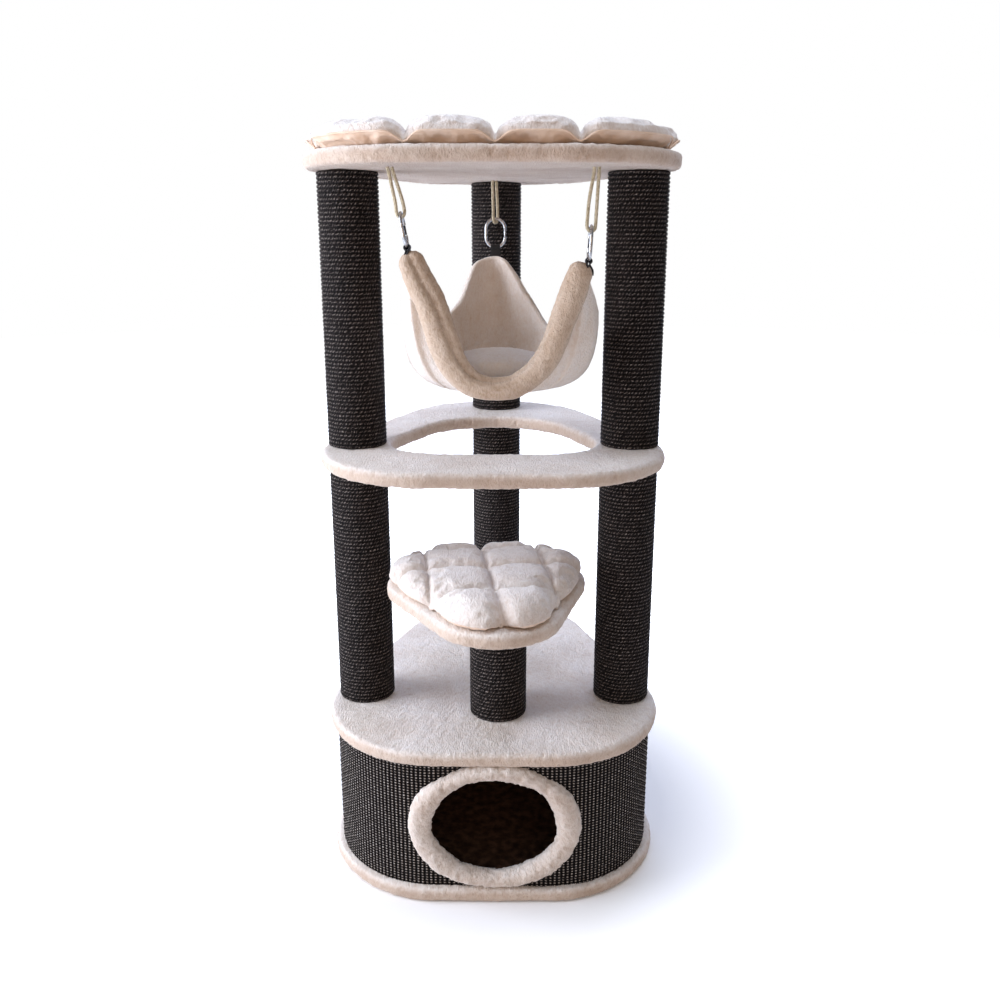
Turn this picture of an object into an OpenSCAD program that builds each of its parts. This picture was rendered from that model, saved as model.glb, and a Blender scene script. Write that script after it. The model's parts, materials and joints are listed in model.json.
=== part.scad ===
// Cat tree: a cave box, three sisal posts on two levels, a ring platform, a swivel seat,
// a top platform with a quilted cushion, and a hammock on three cords.
// Origin: on the floor, under the middle of the footprint. +Y points to the single rear post.

/* [Platforms] */
// Half of the widest part of every platform
half_w = 264.8; // [240:0.1:290]
// Half of the depth of every platform, front to back
half_d = 295.5; // [270:0.5:320]
// Radius of the two front corners
corner_r = 178.4; // [120:0.1:200]
// Radius of the rear corner
tip_r = 170.3; // [100:0.1:180]
// Thickness of a platform with its plush on
slab = 22; // [18:0.5:30]
// Thickness of a bare board
board_t = 15; // [12:1:18]
// How much narrower the ring platform is on every side
ring_inset = 5; // [0:1:10]

/* [Cave] */
// Height of the cave box, floor to the top of its roof
base_h = 253; // [220:1:300]
// Half of the clear width of the mouth
mouth_rx = 94; // [70:1:110]
// Half of the clear height of the mouth
mouth_rz = 80; // [60:1:90]
// Height of the mouth's centre
mouth_z = 128.5; // [110:0.5:140]
// Half of the plush roll's width at the sides of the mouth
trim_side = 18.5; // [12:0.5:22]
// Half of the plush roll's width above and below the mouth
trim_end = 11; // [8:0.5:14]
// Half of the plush roll's depth
trim_deep = 14; // [10:0.5:18]

/* [Posts] */
// Outside diameter of a wound post
post_d = 90; // [70:1:110]
// Diameter of the sisal rope
rope_d = 6; // [5:1:8]
// Length of one long post
post_len = 400; // [350:1:450]
// Distance of each front post from the middle
front_post_x = 210; // [190:1:215]
// Length of the short post under the seat
short_len = 193; // [150:1:220]

/* [Seat] */
// Half of the seat's width
seat_half_w = 154; // [140:0.5:160]
// Half of the seat's length
seat_half_d = 159.5; // [145:0.5:165]
// Radius of the seat's two wide corners
seat_corner_r = 100; // [80:1:120]
// Radius of the seat's narrow end
seat_tip_r = 95; // [75:1:110]
// How far the seat is turned on its bolt, its narrow end to the front at 180
seat_turn = 187.9; // [172:0.1:220]
// Thickness of the seat's quilted cushion
seat_pad_t = 40; // [25:1:45]

/* [Top cushion] */
// Thickness of the loose cushion
top_pad_t = 38; // [30:1:50]

/* [Hammock] */
// Height of the underside of the hammock above the floor
hammock_z = 766; // [740:1:800]
// Thickness of the hammock's padded wall
hammock_t = 15; // [10:1:20]
// Diameter of the hanging cords
cord_d = 5; // [4:0.5:6]
// Length of a snap hook
hook_l = 50; // [45:1:60]
// Width of a snap hook
hook_w = 36; // [30:1:44]
// Diameter of a snap hook's bar
hook_bar = 4.6; // [4:0.1:6]

/* [Hidden] */
$fn = 64;
cream = [0.89, 0.85, 0.80];
charcoal = [0.16, 0.14, 0.13];
card = [0.72, 0.60, 0.45];
timber = [0.78, 0.66, 0.48];
steel = [0.75, 0.76, 0.78];

plush = (slab - board_t) / 2;
eps = 0.01;

// Sizes of an outline: half width, half depth, corner radius, tip radius
platform = [half_w, half_d, corner_r, tip_r];
seat = [seat_half_w, seat_half_d, seat_corner_r, seat_tip_r];
// Place of the bolt measured from the middle of the seat
seat_bolt_at = [-16, -42.7];

// Heights of the levels
roof_z = base_h - slab;
ring_z = base_h + post_len;
upper_z = ring_z + slab;
top_z = upper_z + post_len;
pad_z = top_z + slab;
disc_t = 2;
seat_z = base_h + short_len + disc_t + 0.3;

// Places of the posts
front_post_y = -97;
rear_post_y = 227;
short_post = [8, -156.5];
posts = [[-front_post_x, front_post_y], [front_post_x, front_post_y], [0, rear_post_y]];

// Post build-up
tube_d = post_d - 2 * rope_d;
tube_wall = 4;
plug_t = 20;
stud_r = 4;
stud_hole_r = 4.2;
washer_r = 12;
washer_t = 2;
head_r = 7;
head_t = 5;

// Cave wall build-up, counted inwards from the platform's edge
carpet_inset = 11;
carpet_t = 4;
wall_t = 5;

// Points of an arc, from angle a0 to a1, about centre c
function arc(c, r, a0, a1, n) = [for (i = [0:n]) c + r * [cos(a0 + (a1 - a0) * i / n), sin(a0 + (a1 - a0) * i / n)]];

// Outline with two front corners and one rear corner joined by straight tangents, grown by g
function outline(g, size) =
    let (rc = size[2] + g, rt = size[3] + g, cx = size[0] - size[2], cy = size[2] - size[1],
         ty = size[1] - size[3], d = norm([cx, ty - cy]), a = atan2(cx, ty - cy) + asin((rc - rt) / d))
    concat(arc([cx, cy], rc, -90, a, 18), arc([0, ty], rt, a, 180 - a, 18), arc([-cx, cy], rc, 180 - a, 270, 18));

// A board of that outline
module plate(z, h, g, size = platform) {
    translate([0, 0, z]) linear_extrude(h) polygon(outline(g, size));
}

// A plush slab with a softened edge
module soft_slab(z, g = 0, size = platform) {
    plate(z, slab, g - 4, size);
    plate(z + 2, slab - 4, g - 1.5, size);
    plate(z + 5, slab - 10, g, size);
}

// Outline of the ring platform's hole, grown by g
function ring_hole(g = 0) =
    let (cx = 76, cy = -79, ty = -2, rc = 84 + g, rt = 125 + g,
         d = norm([cx, ty - cy]), a = atan2(cx, ty - cy) + asin((rc - rt) / d))
    concat(arc([cx, cy], rc, -90, a, 14), arc([0, ty], rt, a, 180 - a, 18), arc([-cx, cy], rc, 180 - a, 270, 14));

// Drill a round hole of radius r at each place in the list
module drill(places, r, z, h) {
    for (p = places) translate([p[0], p[1], z]) cylinder(r = r, h = h);
}

// ---- Cave box ----

module base_board() {
    color(timber) plate(plush, board_t, -4);
}

module base_cover() {
    color(cream) difference() {
        soft_slab(0);
        plate(plush, board_t, -4);
    }
}

// Oval of the mouth, as wide as gx and as high as gz each way from its centre
function mouth_oval(gx, gz) = [for (i = [0:59]) [gx * cos(i * 6), gz * sin(i * 6)]];

// A block of the mouth's shape grown by part of the roll's width, running through the front wall
module mouth_block(share) {
    translate([mouth_x, 60 - half_d, mouth_z]) rotate([90, 0, 0]) linear_extrude(90)
        polygon(mouth_oval(mouth_rx + share * trim_side, mouth_rz + share * trim_end));
}
mouth_x = 4;

// A curved wall of the box between two insets from the platform's edge
module box_wall(outer, inner) {
    difference() {
        plate(slab, roof_z - slab, -outer);
        plate(slab - 1, roof_z - slab + 2, -inner);
        mouth_block(1);
    }
}

module cave_wall() {
    color([0.25, 0.22, 0.2]) box_wall(carpet_inset + carpet_t, carpet_inset + carpet_t + wall_t);
}

module cave_carpet() {
    color(charcoal) box_wall(carpet_inset, carpet_inset + carpet_t);
}

// The plush roll: a tube swept round the oval mouth, its back half filling the hole in the wall
module mouth_trim() {
    n = 40;
    m = 8;
    rows = [for (i = [0:n - 1]) let (a = 360 * i / n, w = trim_end + (trim_side - trim_end) * pow(cos(a), 2),
            c = [(mouth_rx + trim_side) * cos(a), 0, (mouth_rz + trim_end) * sin(a)],
            out = [cos(a) * (mouth_rz + trim_end), 0, sin(a) * (mouth_rx + trim_side)], u = out / norm(out))
        for (j = [0:m - 1]) let (b = 360 * j / m) c + w * cos(b) * u - trim_deep * sin(b) * [0, 1, 0]];
    faces = [for (i = [0:n - 1]) for (j = [0:m - 1])
        let (i2 = (i + 1) % n, j2 = (j + 1) % m) [i * m + j, i2 * m + j, i2 * m + j2, i * m + j2]];
    color(cream) difference() {
        translate([mouth_x, carpet_inset - half_d, mouth_z]) polyhedron(rows, faces);
        difference() {
            plate(slab, roof_z - slab, -carpet_inset);
            mouth_block(0.98);
        }
    }
}

module roof_board() {
    color(timber) difference() {
        plate(roof_z + plush, board_t, -4);
        drill(concat(posts, [short_post]), stud_hole_r, roof_z, slab);
    }
}

module roof_cover() {
    color(cream) difference() {
        soft_slab(roof_z);
        plate(roof_z + plush, board_t, -4);
        drill(concat(posts, [short_post]), stud_hole_r, roof_z - 1, slab + 2);
    }
}

// A bolt with its head at the bottom
module bolt(h) {
    translate([0, 0, -head_t]) cylinder(r = head_r, h = head_t);
    cylinder(r = stud_r, h = h);
}

module washer(r = washer_r) {
    difference() {
        cylinder(r = r, h = washer_t);
        translate([0, 0, -1]) cylinder(r = stud_hole_r, h = washer_t + 2);
    }
}

module roof_bolts() {
    color(steel) for (p = concat(posts, [short_post])) translate([p[0], p[1], roof_z - washer_t])
        bolt(washer_t + slab + plug_t - 2);
}

module roof_washers() {
    color(steel) for (p = concat(posts, [short_post])) translate([p[0], p[1], roof_z - washer_t]) washer();
}

// ---- Posts ----

module tube(p, z, len) {
    color(card) translate([p[0], p[1], z]) difference() {
        cylinder(d = tube_d, h = len);
        translate([0, 0, -1]) cylinder(d = tube_d - 2 * tube_wall, h = len + 2);
    }
}

module rope(p, z, len) {
    color(charcoal) translate([p[0], p[1], z]) difference() {
        cylinder(d = post_d, h = len);
        translate([0, 0, -1]) cylinder(d = tube_d, h = len + 2);
    }
}

// The two end plugs of a post
module plugs(p, z, len) {
    color(timber) for (zz = [z, z + len - plug_t]) translate([p[0], p[1], zz]) difference() {
        cylinder(d = tube_d - 2 * tube_wall, h = plug_t);
        translate([0, 0, -1]) cylinder(r = stud_hole_r, h = plug_t + 2);
    }
}

module lower_plugs() {
    for (p = posts) plugs(p, base_h, post_len);
}

module upper_plugs() {
    for (p = posts) plugs(p, upper_z, post_len);
}

// ---- Ring platform ----

module ring_studs() {
    color(steel) for (p = posts) translate([p[0], p[1], ring_z - plug_t + 2])
        cylinder(r = stud_r, h = slab + 2 * plug_t - 4);
}

module ring_board() {
    color(timber) difference() {
        plate(ring_z + plush, board_t, -ring_inset - 4);
        translate([0, 0, ring_z]) linear_extrude(slab) polygon(ring_hole(4));
        drill(posts, stud_hole_r, ring_z, slab);
    }
}

module ring_cover() {
    color(cream) difference() {
        soft_slab(ring_z, -ring_inset);
        for (s = [[0, slab, 0], [-1, 5, 3], [slab - 4, 5, 3]])
            translate([0, 0, ring_z + s[0]]) linear_extrude(s[1] + eps) polygon(ring_hole(s[2]));
        difference() {
            plate(ring_z + plush, board_t, -ring_inset - 4);
            translate([0, 0, ring_z]) linear_extrude(slab) polygon(ring_hole(4));
        }
        drill(posts, stud_hole_r, ring_z - 1, slab + 2);
    }
}

// ---- Top platform ----

sink_t = 7.5;
knot_r = 7;
knot_hole_r = 5;

module top_board() {
    color(timber) difference() {
        plate(top_z + plush, board_t, -4);
        drill(posts, stud_hole_r, top_z, slab);
        drill(posts, washer_r + 1, top_z + plush + board_t - sink_t, sink_t + 1);
        drill(anchors, knot_hole_r, top_z, slab);
        drill(anchors, knot_r + 1, top_z + plush + 1, board_t);
    }
}

module top_cover() {
    color(cream) difference() {
        soft_slab(top_z);
        plate(top_z + plush, board_t, -4);
        drill(posts, stud_hole_r, top_z - 1, slab);
        drill(posts, washer_r + 1, top_z + plush + board_t - 1, slab);
        drill(anchors, knot_hole_r, top_z - 1, slab);
    }
}

module top_bolts() {
    color(steel) for (p = posts) translate([p[0], p[1], top_z + plush + board_t - sink_t + washer_t])
        mirror([0, 0, 1]) bolt(plush + board_t - sink_t + washer_t + plug_t - 2);
}

module top_washers() {
    color(steel) for (p = posts) translate([p[0], p[1], top_z + plush + board_t - sink_t]) washer();
}

module top_cushion() {
    color(cream) {
        plate(pad_z + 0.3, top_pad_t - 0.3, -16);
        plate(pad_z + 0.3, top_pad_t - 10, -6);
        plate(pad_z + 5, top_pad_t - 18, -2);
    }
}

// ---- Seat ----

// Put a piece drawn about the seat's own middle on the short post
module on_seat() {
    translate([short_post[0], short_post[1], 0]) rotate([0, 0, seat_turn])
        translate([-seat_bolt_at[0], -seat_bolt_at[1], 0]) children();
}
bolt_run_r = 4.06;

module seat_disc() {
    color("white") translate([short_post[0], short_post[1], base_h + short_len]) difference() {
        cylinder(r = 34, h = disc_t);
        translate([0, 0, -1]) cylinder(r = stud_hole_r, h = disc_t + 2);
    }
}

seat_sink = seat_z + plush + board_t - sink_t;

module seat_bolt() {
    color(steel) translate([short_post[0], short_post[1], seat_sink + washer_t + 0.1])
        mirror([0, 0, 1]) bolt(seat_sink + washer_t - base_h - short_len + plug_t - 2);
}

module seat_washer() {
    color(steel) translate([short_post[0], short_post[1], seat_sink + 0.05]) washer(washer_r);
}

module seat_board() {
    color(timber) on_seat() difference() {
        plate(seat_z + plush, board_t, -4, seat);
        drill([seat_bolt_at], bolt_run_r, seat_z, slab);
        drill([seat_bolt_at], washer_r + 1, seat_sink, slab);
    }
}

module seat_cover() {
    color(cream) on_seat() difference() {
        soft_slab(seat_z, 0, seat);
        plate(seat_z + plush, board_t, -4, seat);
        drill([seat_bolt_at], stud_hole_r + 0.3, seat_z - 1, slab);
        drill([seat_bolt_at], washer_r + 1, seat_sink + 1, slab);
    }
}

module seat_cushion() {
    color(cream) on_seat() {
        plate(seat_z + slab, seat_pad_t, -18, seat);
        plate(seat_z + slab, seat_pad_t - 10, -8, seat);
        plate(seat_z + slab + 5, seat_pad_t - 20, -3, seat);
    }
}

// ---- Cords ----

// Where each cord leaves the underside of the top board
anchors = [[-134, -215], [139, -215], [-1, 96]];
// The routes of the three loops, down one strand, round the hook and up the other
route_left = [[-137, -215, 1074], [-135, -215, 1066], [-133, -215, 1056], [-131, -215, 1046],
    [-129, -215, 1036], [-127.5, -215, 1028], [-127, -215, 1022], [-126.5, -215, 1017.5], [-125.5, -215, 1013.5],
    [-123.5, -215, 1011.2], [-121, -215, 1010.5], [-118.5, -215, 1011.2], [-116.5, -215, 1013.5],
    [-115.7, -215, 1018], [-116.5, -215, 1024], [-118.5, -215, 1033], [-121.5, -215, 1043], [-125, -215, 1054],
    [-128.5, -215, 1064], [-131, -215, 1074]];
route_right = [[136, -215, 1074], [135, -215, 1064], [133, -215, 1052], [131, -215, 1040],
    [129.5, -215, 1028], [128.5, -215, 1016], [128, -215, 1007], [127.7, -215, 1000], [128.6, -215, 995.8],
    [131, -215, 993], [133.6, -215, 992.2], [136.2, -215, 993], [138.6, -215, 995.8], [139.2, -215, 1001],
    [139.5, -215, 1008], [140, -215, 1020], [140.5, -215, 1032], [141, -215, 1044], [141.5, -215, 1056],
    [142, -215, 1066], [142, -215, 1074]];
route_rear = [[-4, 93.6, 1072.8], [-4, 92.7, 1064], [-3.5, 92, 1053], [-3.5, 91.3, 1042], [-3, 90.6, 1031],
    [-3, 90.1, 1021], [-3, 90.1, 1014], [-2, 91.6, 1009.6], [-1.2, 93.4, 1007.4], [0.6, 96, 1006.6],
    [2.4, 98.6, 1007.4], [3.2, 100.4, 1009.6], [4.2, 101.9, 1014], [4.2, 101.9, 1021], [4, 101.4, 1031],
    [3.5, 100.7, 1042], [3, 100, 1053], [2.5, 99.3, 1064], [2, 98.4, 1072.8]];

// A round tube of radius r swept along a flat loop whose plane has normal nrm
module swept_cord(route, nrm, r) {
    n = len(route);
    m = 8;
    ring = [for (i = [0:n - 1]) let (t = route[min(i + 1, n - 1)] - route[max(i - 1, 0)],
            b = cross(t, nrm) / norm(cross(t, nrm)))
        for (j = [0:m - 1]) route[i] + r * (cos(j * 360 / m) * nrm + sin(j * 360 / m) * b)];
    sides = [for (i = [0:n - 2]) for (j = [0:m - 1])
        let (k = (j + 1) % m) [i * m + j, i * m + k, (i + 1) * m + k, (i + 1) * m + j]];
    ends = [[for (j = [0:m - 1]) m - 1 - j], [for (j = [0:m - 1]) (n - 1) * m + j]];
    color([0.78, 0.70, 0.55]) polyhedron(ring, concat(sides, ends));
}

module cord_left() {
    swept_cord(route_left, [0, 1, 0], cord_d / 2);
}

module cord_right() {
    swept_cord(route_right, [0, 1, 0], cord_d / 2);
}

module cord_rear() {
    swept_cord(route_rear, [0.79, -0.613, 0], cord_d / 2);
}

// A knot above each hole, with the doubled cord below it
module cord_knots() {
    color([0.78, 0.70, 0.55]) for (a = anchors) translate([a[0], a[1], 0]) {
        translate([0, 0, top_z + plush + 2 + knot_r]) sphere(r = knot_r);
        translate([0, 0, top_z + 1]) cylinder(r = knot_hole_r - 0.5, h = plush + 5);
    }
}

// ---- Hooks: oval snap hooks that hang on the loops ----

// Place of each hook's middle, its lean, and the turn of its plane
hook_left_at = [-117.2, -215, 993.5];
hook_right_at = [132.4, -215, 976.2];
hook_rear_at = [0.6, 96, 990];
lean_left = -10;
lean_right = 3;

module hook_frame(at, lean, turn) {
    translate(at) rotate([0, lean, 0]) rotate([0, 0, turn]) children();
}

// Oval hook in the XZ plane, its long side at +X left open for the gate
module hook_body() {
    r = hook_bar / 2;
    w = hook_w / 2 - r;
    h = hook_l / 2 - w - r;
    color(steel) {
        for (s = [0, 180]) rotate([0, s, 0]) translate([0, 0, h]) rotate([90, 0, 0])
            rotate_extrude(angle = 180) translate([w, 0]) circle(r = r, $fn = 24);
        translate([-w, 0, -h]) cylinder(r = r, h = 2 * h, $fn = 24);
    }
}

// Spring gate: a bar pivoting at its round foot and closing the hook's open side
module gate_body() {
    r = hook_bar / 2;
    w = hook_w / 2 - r;
    h = hook_l / 2 - w - r;
    foot = -h + r;
    color([0.2, 0.2, 0.22]) translate([w, 0, foot]) {
        sphere(r = r - 0.4, $fn = 24);
        cylinder(r = r - 0.4, h = h - foot - 0.3, $fn = 24);
    }
}

module hook_left() {
    hook_frame(hook_left_at, lean_left, 90) hook_body();
}

module hook_right() {
    hook_frame(hook_right_at, lean_right, 90) hook_body();
}

module hook_rear() {
    hook_frame(hook_rear_at, 0, 0) hook_body();
}

module gate_left() {
    hook_frame(hook_left_at, lean_left, 90) gate_body();
}

module gate_right() {
    hook_frame(hook_right_at, lean_right, 90) gate_body();
}

module gate_rear() {
    hook_frame(hook_rear_at, 0, 0) gate_body();
}

// Webbing loop round the foot of a hook: a flat band bent round the bar, its tail going down.
// strap_rise leaves room for the bar, which curves upwards on either side of its lowest point.
strap_w = 16;
strap_t = 2.2;
strap_rise = 2.5;
strap_gap = 0.3;
module strap_body(tail) {
    r = hook_bar / 2 + strap_gap;
    foot = -hook_l / 2 + hook_bar / 2;
    color([0.08, 0.08, 0.09]) translate([0, 0, foot]) rotate([0, 90, 0]) translate([0, 0, -strap_w / 2])
        difference() {
            hull() {
                translate([-strap_rise, 0, 0]) cylinder(r = r + strap_t, h = strap_w);
                translate([0, -r - strap_t, 0]) cube([tail, 2 * (r + strap_t), strap_w]);
            }
            hull() {
                translate([-strap_rise, 0, -1]) cylinder(r = r, h = strap_w + 2);
                translate([0, -r, -1]) cube([tail - 4, 2 * r, strap_w + 2]);
            }
        }
}

module strap_left() {
    hook_frame(hook_left_at, lean_left, 90) strap_body(13);
}

module strap_right() {
    hook_frame(hook_right_at, lean_right, 90) strap_body(11.2);
}

module strap_rear() {
    hook_frame(hook_rear_at, 0, 0) strap_body(12);
}

// ---- Hammock: a three-cornered padded pouch ----

pouch_c = [8, -97];
pouch_floor_r = 84;
// Reach of the rim at angles round the pouch: the corners stand at 91, 225 and 317 degrees
rim_reach = [[0, 138], [30, 140], [55, 152], [75, 174], [91, 192], [107, 174], [125, 152], [150, 140], [180, 138],
    [205, 148], [225, 166], [237, 142], [252, 125], [270, 120], [288, 125], [304, 144], [317, 170], [335, 152],
    [360, 138]];
// Height of the rim at the same angles
rim_height = [[0, 850], [30, 832], [55, 845], [75, 900], [91, 955], [107, 900], [125, 845], [150, 832], [180, 850],
    [205, 900], [225, 958], [237, 882], [252, 814], [270, 796], [288, 810], [304, 866], [317, 942], [335, 890],
    [360, 850]];
// Point of the wall at angle a and share s of the way up, moved inwards by t
function pouch_pt(a, s, t) = let (u = 1 - pow(1 - s, 1.9), reach = lookup(a, rim_reach),
        r = pouch_floor_r + (reach - pouch_floor_r) * u + 16 * sin(180 * s) * (1 - s) - t,
        z = hammock_z + (lookup(a, rim_height) - hammock_z) * pow(s, 1.25) + t * 0.9 * (1 - s))
    [pouch_c[0] + r * cos(a), pouch_c[1] + r * sin(a), z];

module hammock_shell() {
    n = 48;
    up = [0, 0.12, 0.3, 0.5, 0.7, 0.86, 1];
    m = len(up);
    outer = [for (s = up) for (i = [0:n - 1]) pouch_pt(360 * i / n, s, 0)];
    inner = [for (k = [m - 1:-1:0]) for (i = [0:n - 1]) pouch_pt(360 * i / n, up[k], hammock_t)];
    pts = concat(outer, inner, [[pouch_c[0], pouch_c[1], hammock_z], [pouch_c[0], pouch_c[1], hammock_z + hammock_t * 0.9]]);
    rows = 2 * m;
    wall = [for (k = [0:rows - 2]) for (i = [0:n - 1]) let (j = (i + 1) % n)
        [k * n + i, (k + 1) * n + i, (k + 1) * n + j, k * n + j]];
    bottom = [for (i = [0:n - 1]) [rows * n, i, (i + 1) % n]];
    floor_in = [for (i = [0:n - 1]) [rows * n + 1, (rows - 1) * n + (i + 1) % n, (rows - 1) * n + i]];
    color(cream) polyhedron(pts, concat(wall, bottom, floor_in));
}

module hammock_pad() {
    color(cream) translate([pouch_c[0], pouch_c[1], hammock_z + hammock_t]) {
        cylinder(r = pouch_floor_r - hammock_t - 6, h = 22);
        translate([0, 0, 6]) cylinder(r = pouch_floor_r - hammock_t - 1, h = 12);
    }
}

base_board();
base_cover();
cave_wall();
cave_carpet();
mouth_trim();
roof_board();
roof_cover();
roof_bolts();
roof_washers();
tube(posts[0], base_h, post_len);  // lower_tube_left
tube(posts[1], base_h, post_len);  // lower_tube_right
tube(posts[2], base_h, post_len);  // lower_tube_rear
rope(posts[0], base_h, post_len);  // lower_rope_left
rope(posts[1], base_h, post_len);  // lower_rope_right
rope(posts[2], base_h, post_len);  // lower_rope_rear
lower_plugs();
tube(posts[0], upper_z, post_len);  // upper_tube_left
tube(posts[1], upper_z, post_len);  // upper_tube_right
tube(posts[2], upper_z, post_len);  // upper_tube_rear
rope(posts[0], upper_z, post_len);  // upper_rope_left
rope(posts[1], upper_z, post_len);  // upper_rope_right
rope(posts[2], upper_z, post_len);  // upper_rope_rear
upper_plugs();
tube(short_post, base_h, short_len);  // short_tube
rope(short_post, base_h, short_len);  // short_rope
plugs(short_post, base_h, short_len);  // short_plugs
ring_studs();
ring_board();
ring_cover();
top_board();
top_cover();
top_bolts();
top_washers();
top_cushion();
seat_disc();
seat_bolt();
seat_washer();
seat_board();
seat_cover();
seat_cushion();
cord_knots();
cord_left();
cord_right();
cord_rear();
hammock_shell();
hammock_pad();
strap_left();
strap_right();
strap_rear();
hook_left();
hook_right();
hook_rear();
gate_left();
gate_right();
gate_rear();
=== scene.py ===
"""Looks of the cat tree: a plush and sisal tree with a cave, a ring, a turning seat and a hammock."""

from __future__ import annotations

import json
import logging
import math
from dataclasses import dataclass, field
from enum import Enum
from typing import Any, Callable, Sequence

import bmesh
import bpy
import numpy as np
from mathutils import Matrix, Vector

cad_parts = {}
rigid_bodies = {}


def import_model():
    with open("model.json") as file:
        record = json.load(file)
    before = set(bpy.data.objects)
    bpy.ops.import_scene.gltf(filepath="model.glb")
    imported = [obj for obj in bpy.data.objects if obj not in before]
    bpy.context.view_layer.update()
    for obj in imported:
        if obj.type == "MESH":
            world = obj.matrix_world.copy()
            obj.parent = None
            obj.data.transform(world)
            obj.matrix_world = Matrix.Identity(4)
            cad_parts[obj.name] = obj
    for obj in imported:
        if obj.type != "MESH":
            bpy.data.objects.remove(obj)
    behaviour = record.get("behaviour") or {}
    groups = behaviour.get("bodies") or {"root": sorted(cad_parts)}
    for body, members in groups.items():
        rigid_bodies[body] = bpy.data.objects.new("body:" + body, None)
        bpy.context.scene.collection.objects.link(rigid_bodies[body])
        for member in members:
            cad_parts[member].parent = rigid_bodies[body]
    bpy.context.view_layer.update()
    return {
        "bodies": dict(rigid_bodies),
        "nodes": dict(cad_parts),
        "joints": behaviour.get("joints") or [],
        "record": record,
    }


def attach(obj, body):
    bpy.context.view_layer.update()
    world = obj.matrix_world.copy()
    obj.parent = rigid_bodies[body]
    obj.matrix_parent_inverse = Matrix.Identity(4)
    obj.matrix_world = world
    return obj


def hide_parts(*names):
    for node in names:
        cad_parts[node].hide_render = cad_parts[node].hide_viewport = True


log = logging.getLogger("cat_tree")

MM = 0.001
Array = np.ndarray
Tree = bpy.types.NodeTree
Thing = bpy.types.Object
Socket = bpy.types.NodeSocket


# ---------------------------------------------------------------- small helpers


def linear(hex_colour: str) -> tuple[float, float, float, float]:
    """Turn an sRGB hex colour into linear red, green, blue and alpha.

    Args:
        hex_colour: six hex digits after a hash.

    Returns:
        Four numbers from 0 to 1.
    """
    parts = [int(hex_colour[i : i + 2], 16) / 255 for i in (1, 3, 5)]
    return (*(p / 12.92 if p <= 0.04045 else ((p + 0.055) / 1.055) ** 2.4 for p in parts), 1.0)


def add_node(tree: Tree, kind: str, inputs: dict[Any, Any] | None = None, **settings: Any) -> bpy.types.Node:
    """Add a node with its settings, and its inputs as values or links.

    Args:
        tree: the node tree.
        kind: Blender's name of the node type.
        inputs: input name or number to a value or to an output socket.
        **settings: attributes of the node.

    Returns:
        The node.
    """
    node = tree.nodes.new(kind)
    for name, value in settings.items():
        setattr(node, name, value)
    for key, value in (inputs or {}).items():
        if isinstance(value, Socket):
            tree.links.new(value, node.inputs[key])
        else:
            node.inputs[key].default_value = value
    return node


def lattice_noise(points: Array, cell: float, seed: int) -> Array:
    """Smooth noise from -1 to 1: random numbers on a cubic lattice, blended by the cubic step 3t^2 - 2t^3.

    Args:
        points: any array of points in mm, its last axis of length 3.
        cell: the lattice spacing in mm.
        seed: picks the random numbers.

    Returns:
        One number per point.
    """
    size = 64
    table = np.random.default_rng(seed).random((size, size, size)) * 2 - 1
    q = points / cell
    low = np.floor(q).astype(int)
    t = q - low
    t = t * t * (3 - 2 * t)
    total = np.zeros(points.shape[:-1])
    for corner in np.ndindex(2, 2, 2):
        weight = np.prod(np.where(np.array(corner) == 1, t, 1 - t), axis=-1)
        i = (low + np.array(corner)) % size
        total += weight * table[i[..., 0], i[..., 1], i[..., 2]]
    return total


def grid_normals(points: Array, wrap_rows: bool = False, wrap_cols: bool = True) -> Array:
    """Unit normals of a grid surface: the cross product of its column and row differences.

    Args:
        points: rows by columns by 3.
        wrap_rows: the last row joins the first.
        wrap_cols: the last column joins the first.

    Returns:
        An array like points.
    """
    def slope(axis: int, wrap: bool) -> Array:
        """Central difference along an axis, one-sided at open ends."""
        if wrap:
            return np.roll(points, -1, axis) - np.roll(points, 1, axis)
        return np.gradient(points, axis=axis)

    n = np.cross(slope(1, wrap_cols), slope(0, wrap_rows))
    return n / np.maximum(np.linalg.norm(n, axis=-1, keepdims=True), 1e-9)


def raised(plan: Array, heights: Array | float) -> Array:
    """Plan points with a height each: heights are one per row, or one for all.

    Args:
        plan: rows by columns by 2.
        heights: rows, or one number.

    Returns:
        Rows by columns by 3.
    """
    z = np.broadcast_to(np.reshape(heights, (-1, 1, 1)), plan.shape[:2] + (1,))
    return np.concatenate([plan, z], -1)


class Ends(Enum):
    """How a grid surface ends at its first and last rows."""

    POLES = "poles"
    JOINED = "joined"


def make_object(name: str, verts: Array, faces: Array | list, smooth: bool = True) -> Thing:
    """Put points in mm and faces into a new mesh object at the origin.

    Args:
        name: the piece's name.
        verts: n by 3, in mm.
        faces: rows of vertex numbers.
        smooth: shade it smooth.

    Returns:
        The object, linked to the scene.
    """
    mesh = bpy.data.meshes.new(name)
    rows = faces if isinstance(faces, list) else faces.tolist()
    mesh.from_pydata((np.asarray(verts) * MM).tolist(), [], rows)
    mesh.update()
    mesh.polygons.foreach_set("use_smooth", np.full(len(mesh.polygons), smooth))
    obj = bpy.data.objects.new(name, mesh)
    bpy.context.scene.collection.objects.link(obj)
    return obj


def quads(rows: int, cols: int, wrap_rows: bool, wrap_cols: bool) -> Array:
    """Quads of a rows by columns grid of vertices.

    Args:
        rows: vertex rows.
        cols: vertex columns.
        wrap_rows: the last row joins the first.
        wrap_cols: the last column joins the first.

    Returns:
        n by 4 vertex numbers.
    """
    last_row, last_col = (rows if wrap_rows else rows - 1), (cols if wrap_cols else cols - 1)
    r, c = np.meshgrid(np.arange(last_row), np.arange(last_col), indexing="ij")
    r2, c2 = (r + 1) % rows, (c + 1) % cols
    return np.stack([r * cols + c, r * cols + c2, r2 * cols + c2, r2 * cols + c], -1).reshape(-1, 4)


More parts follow.
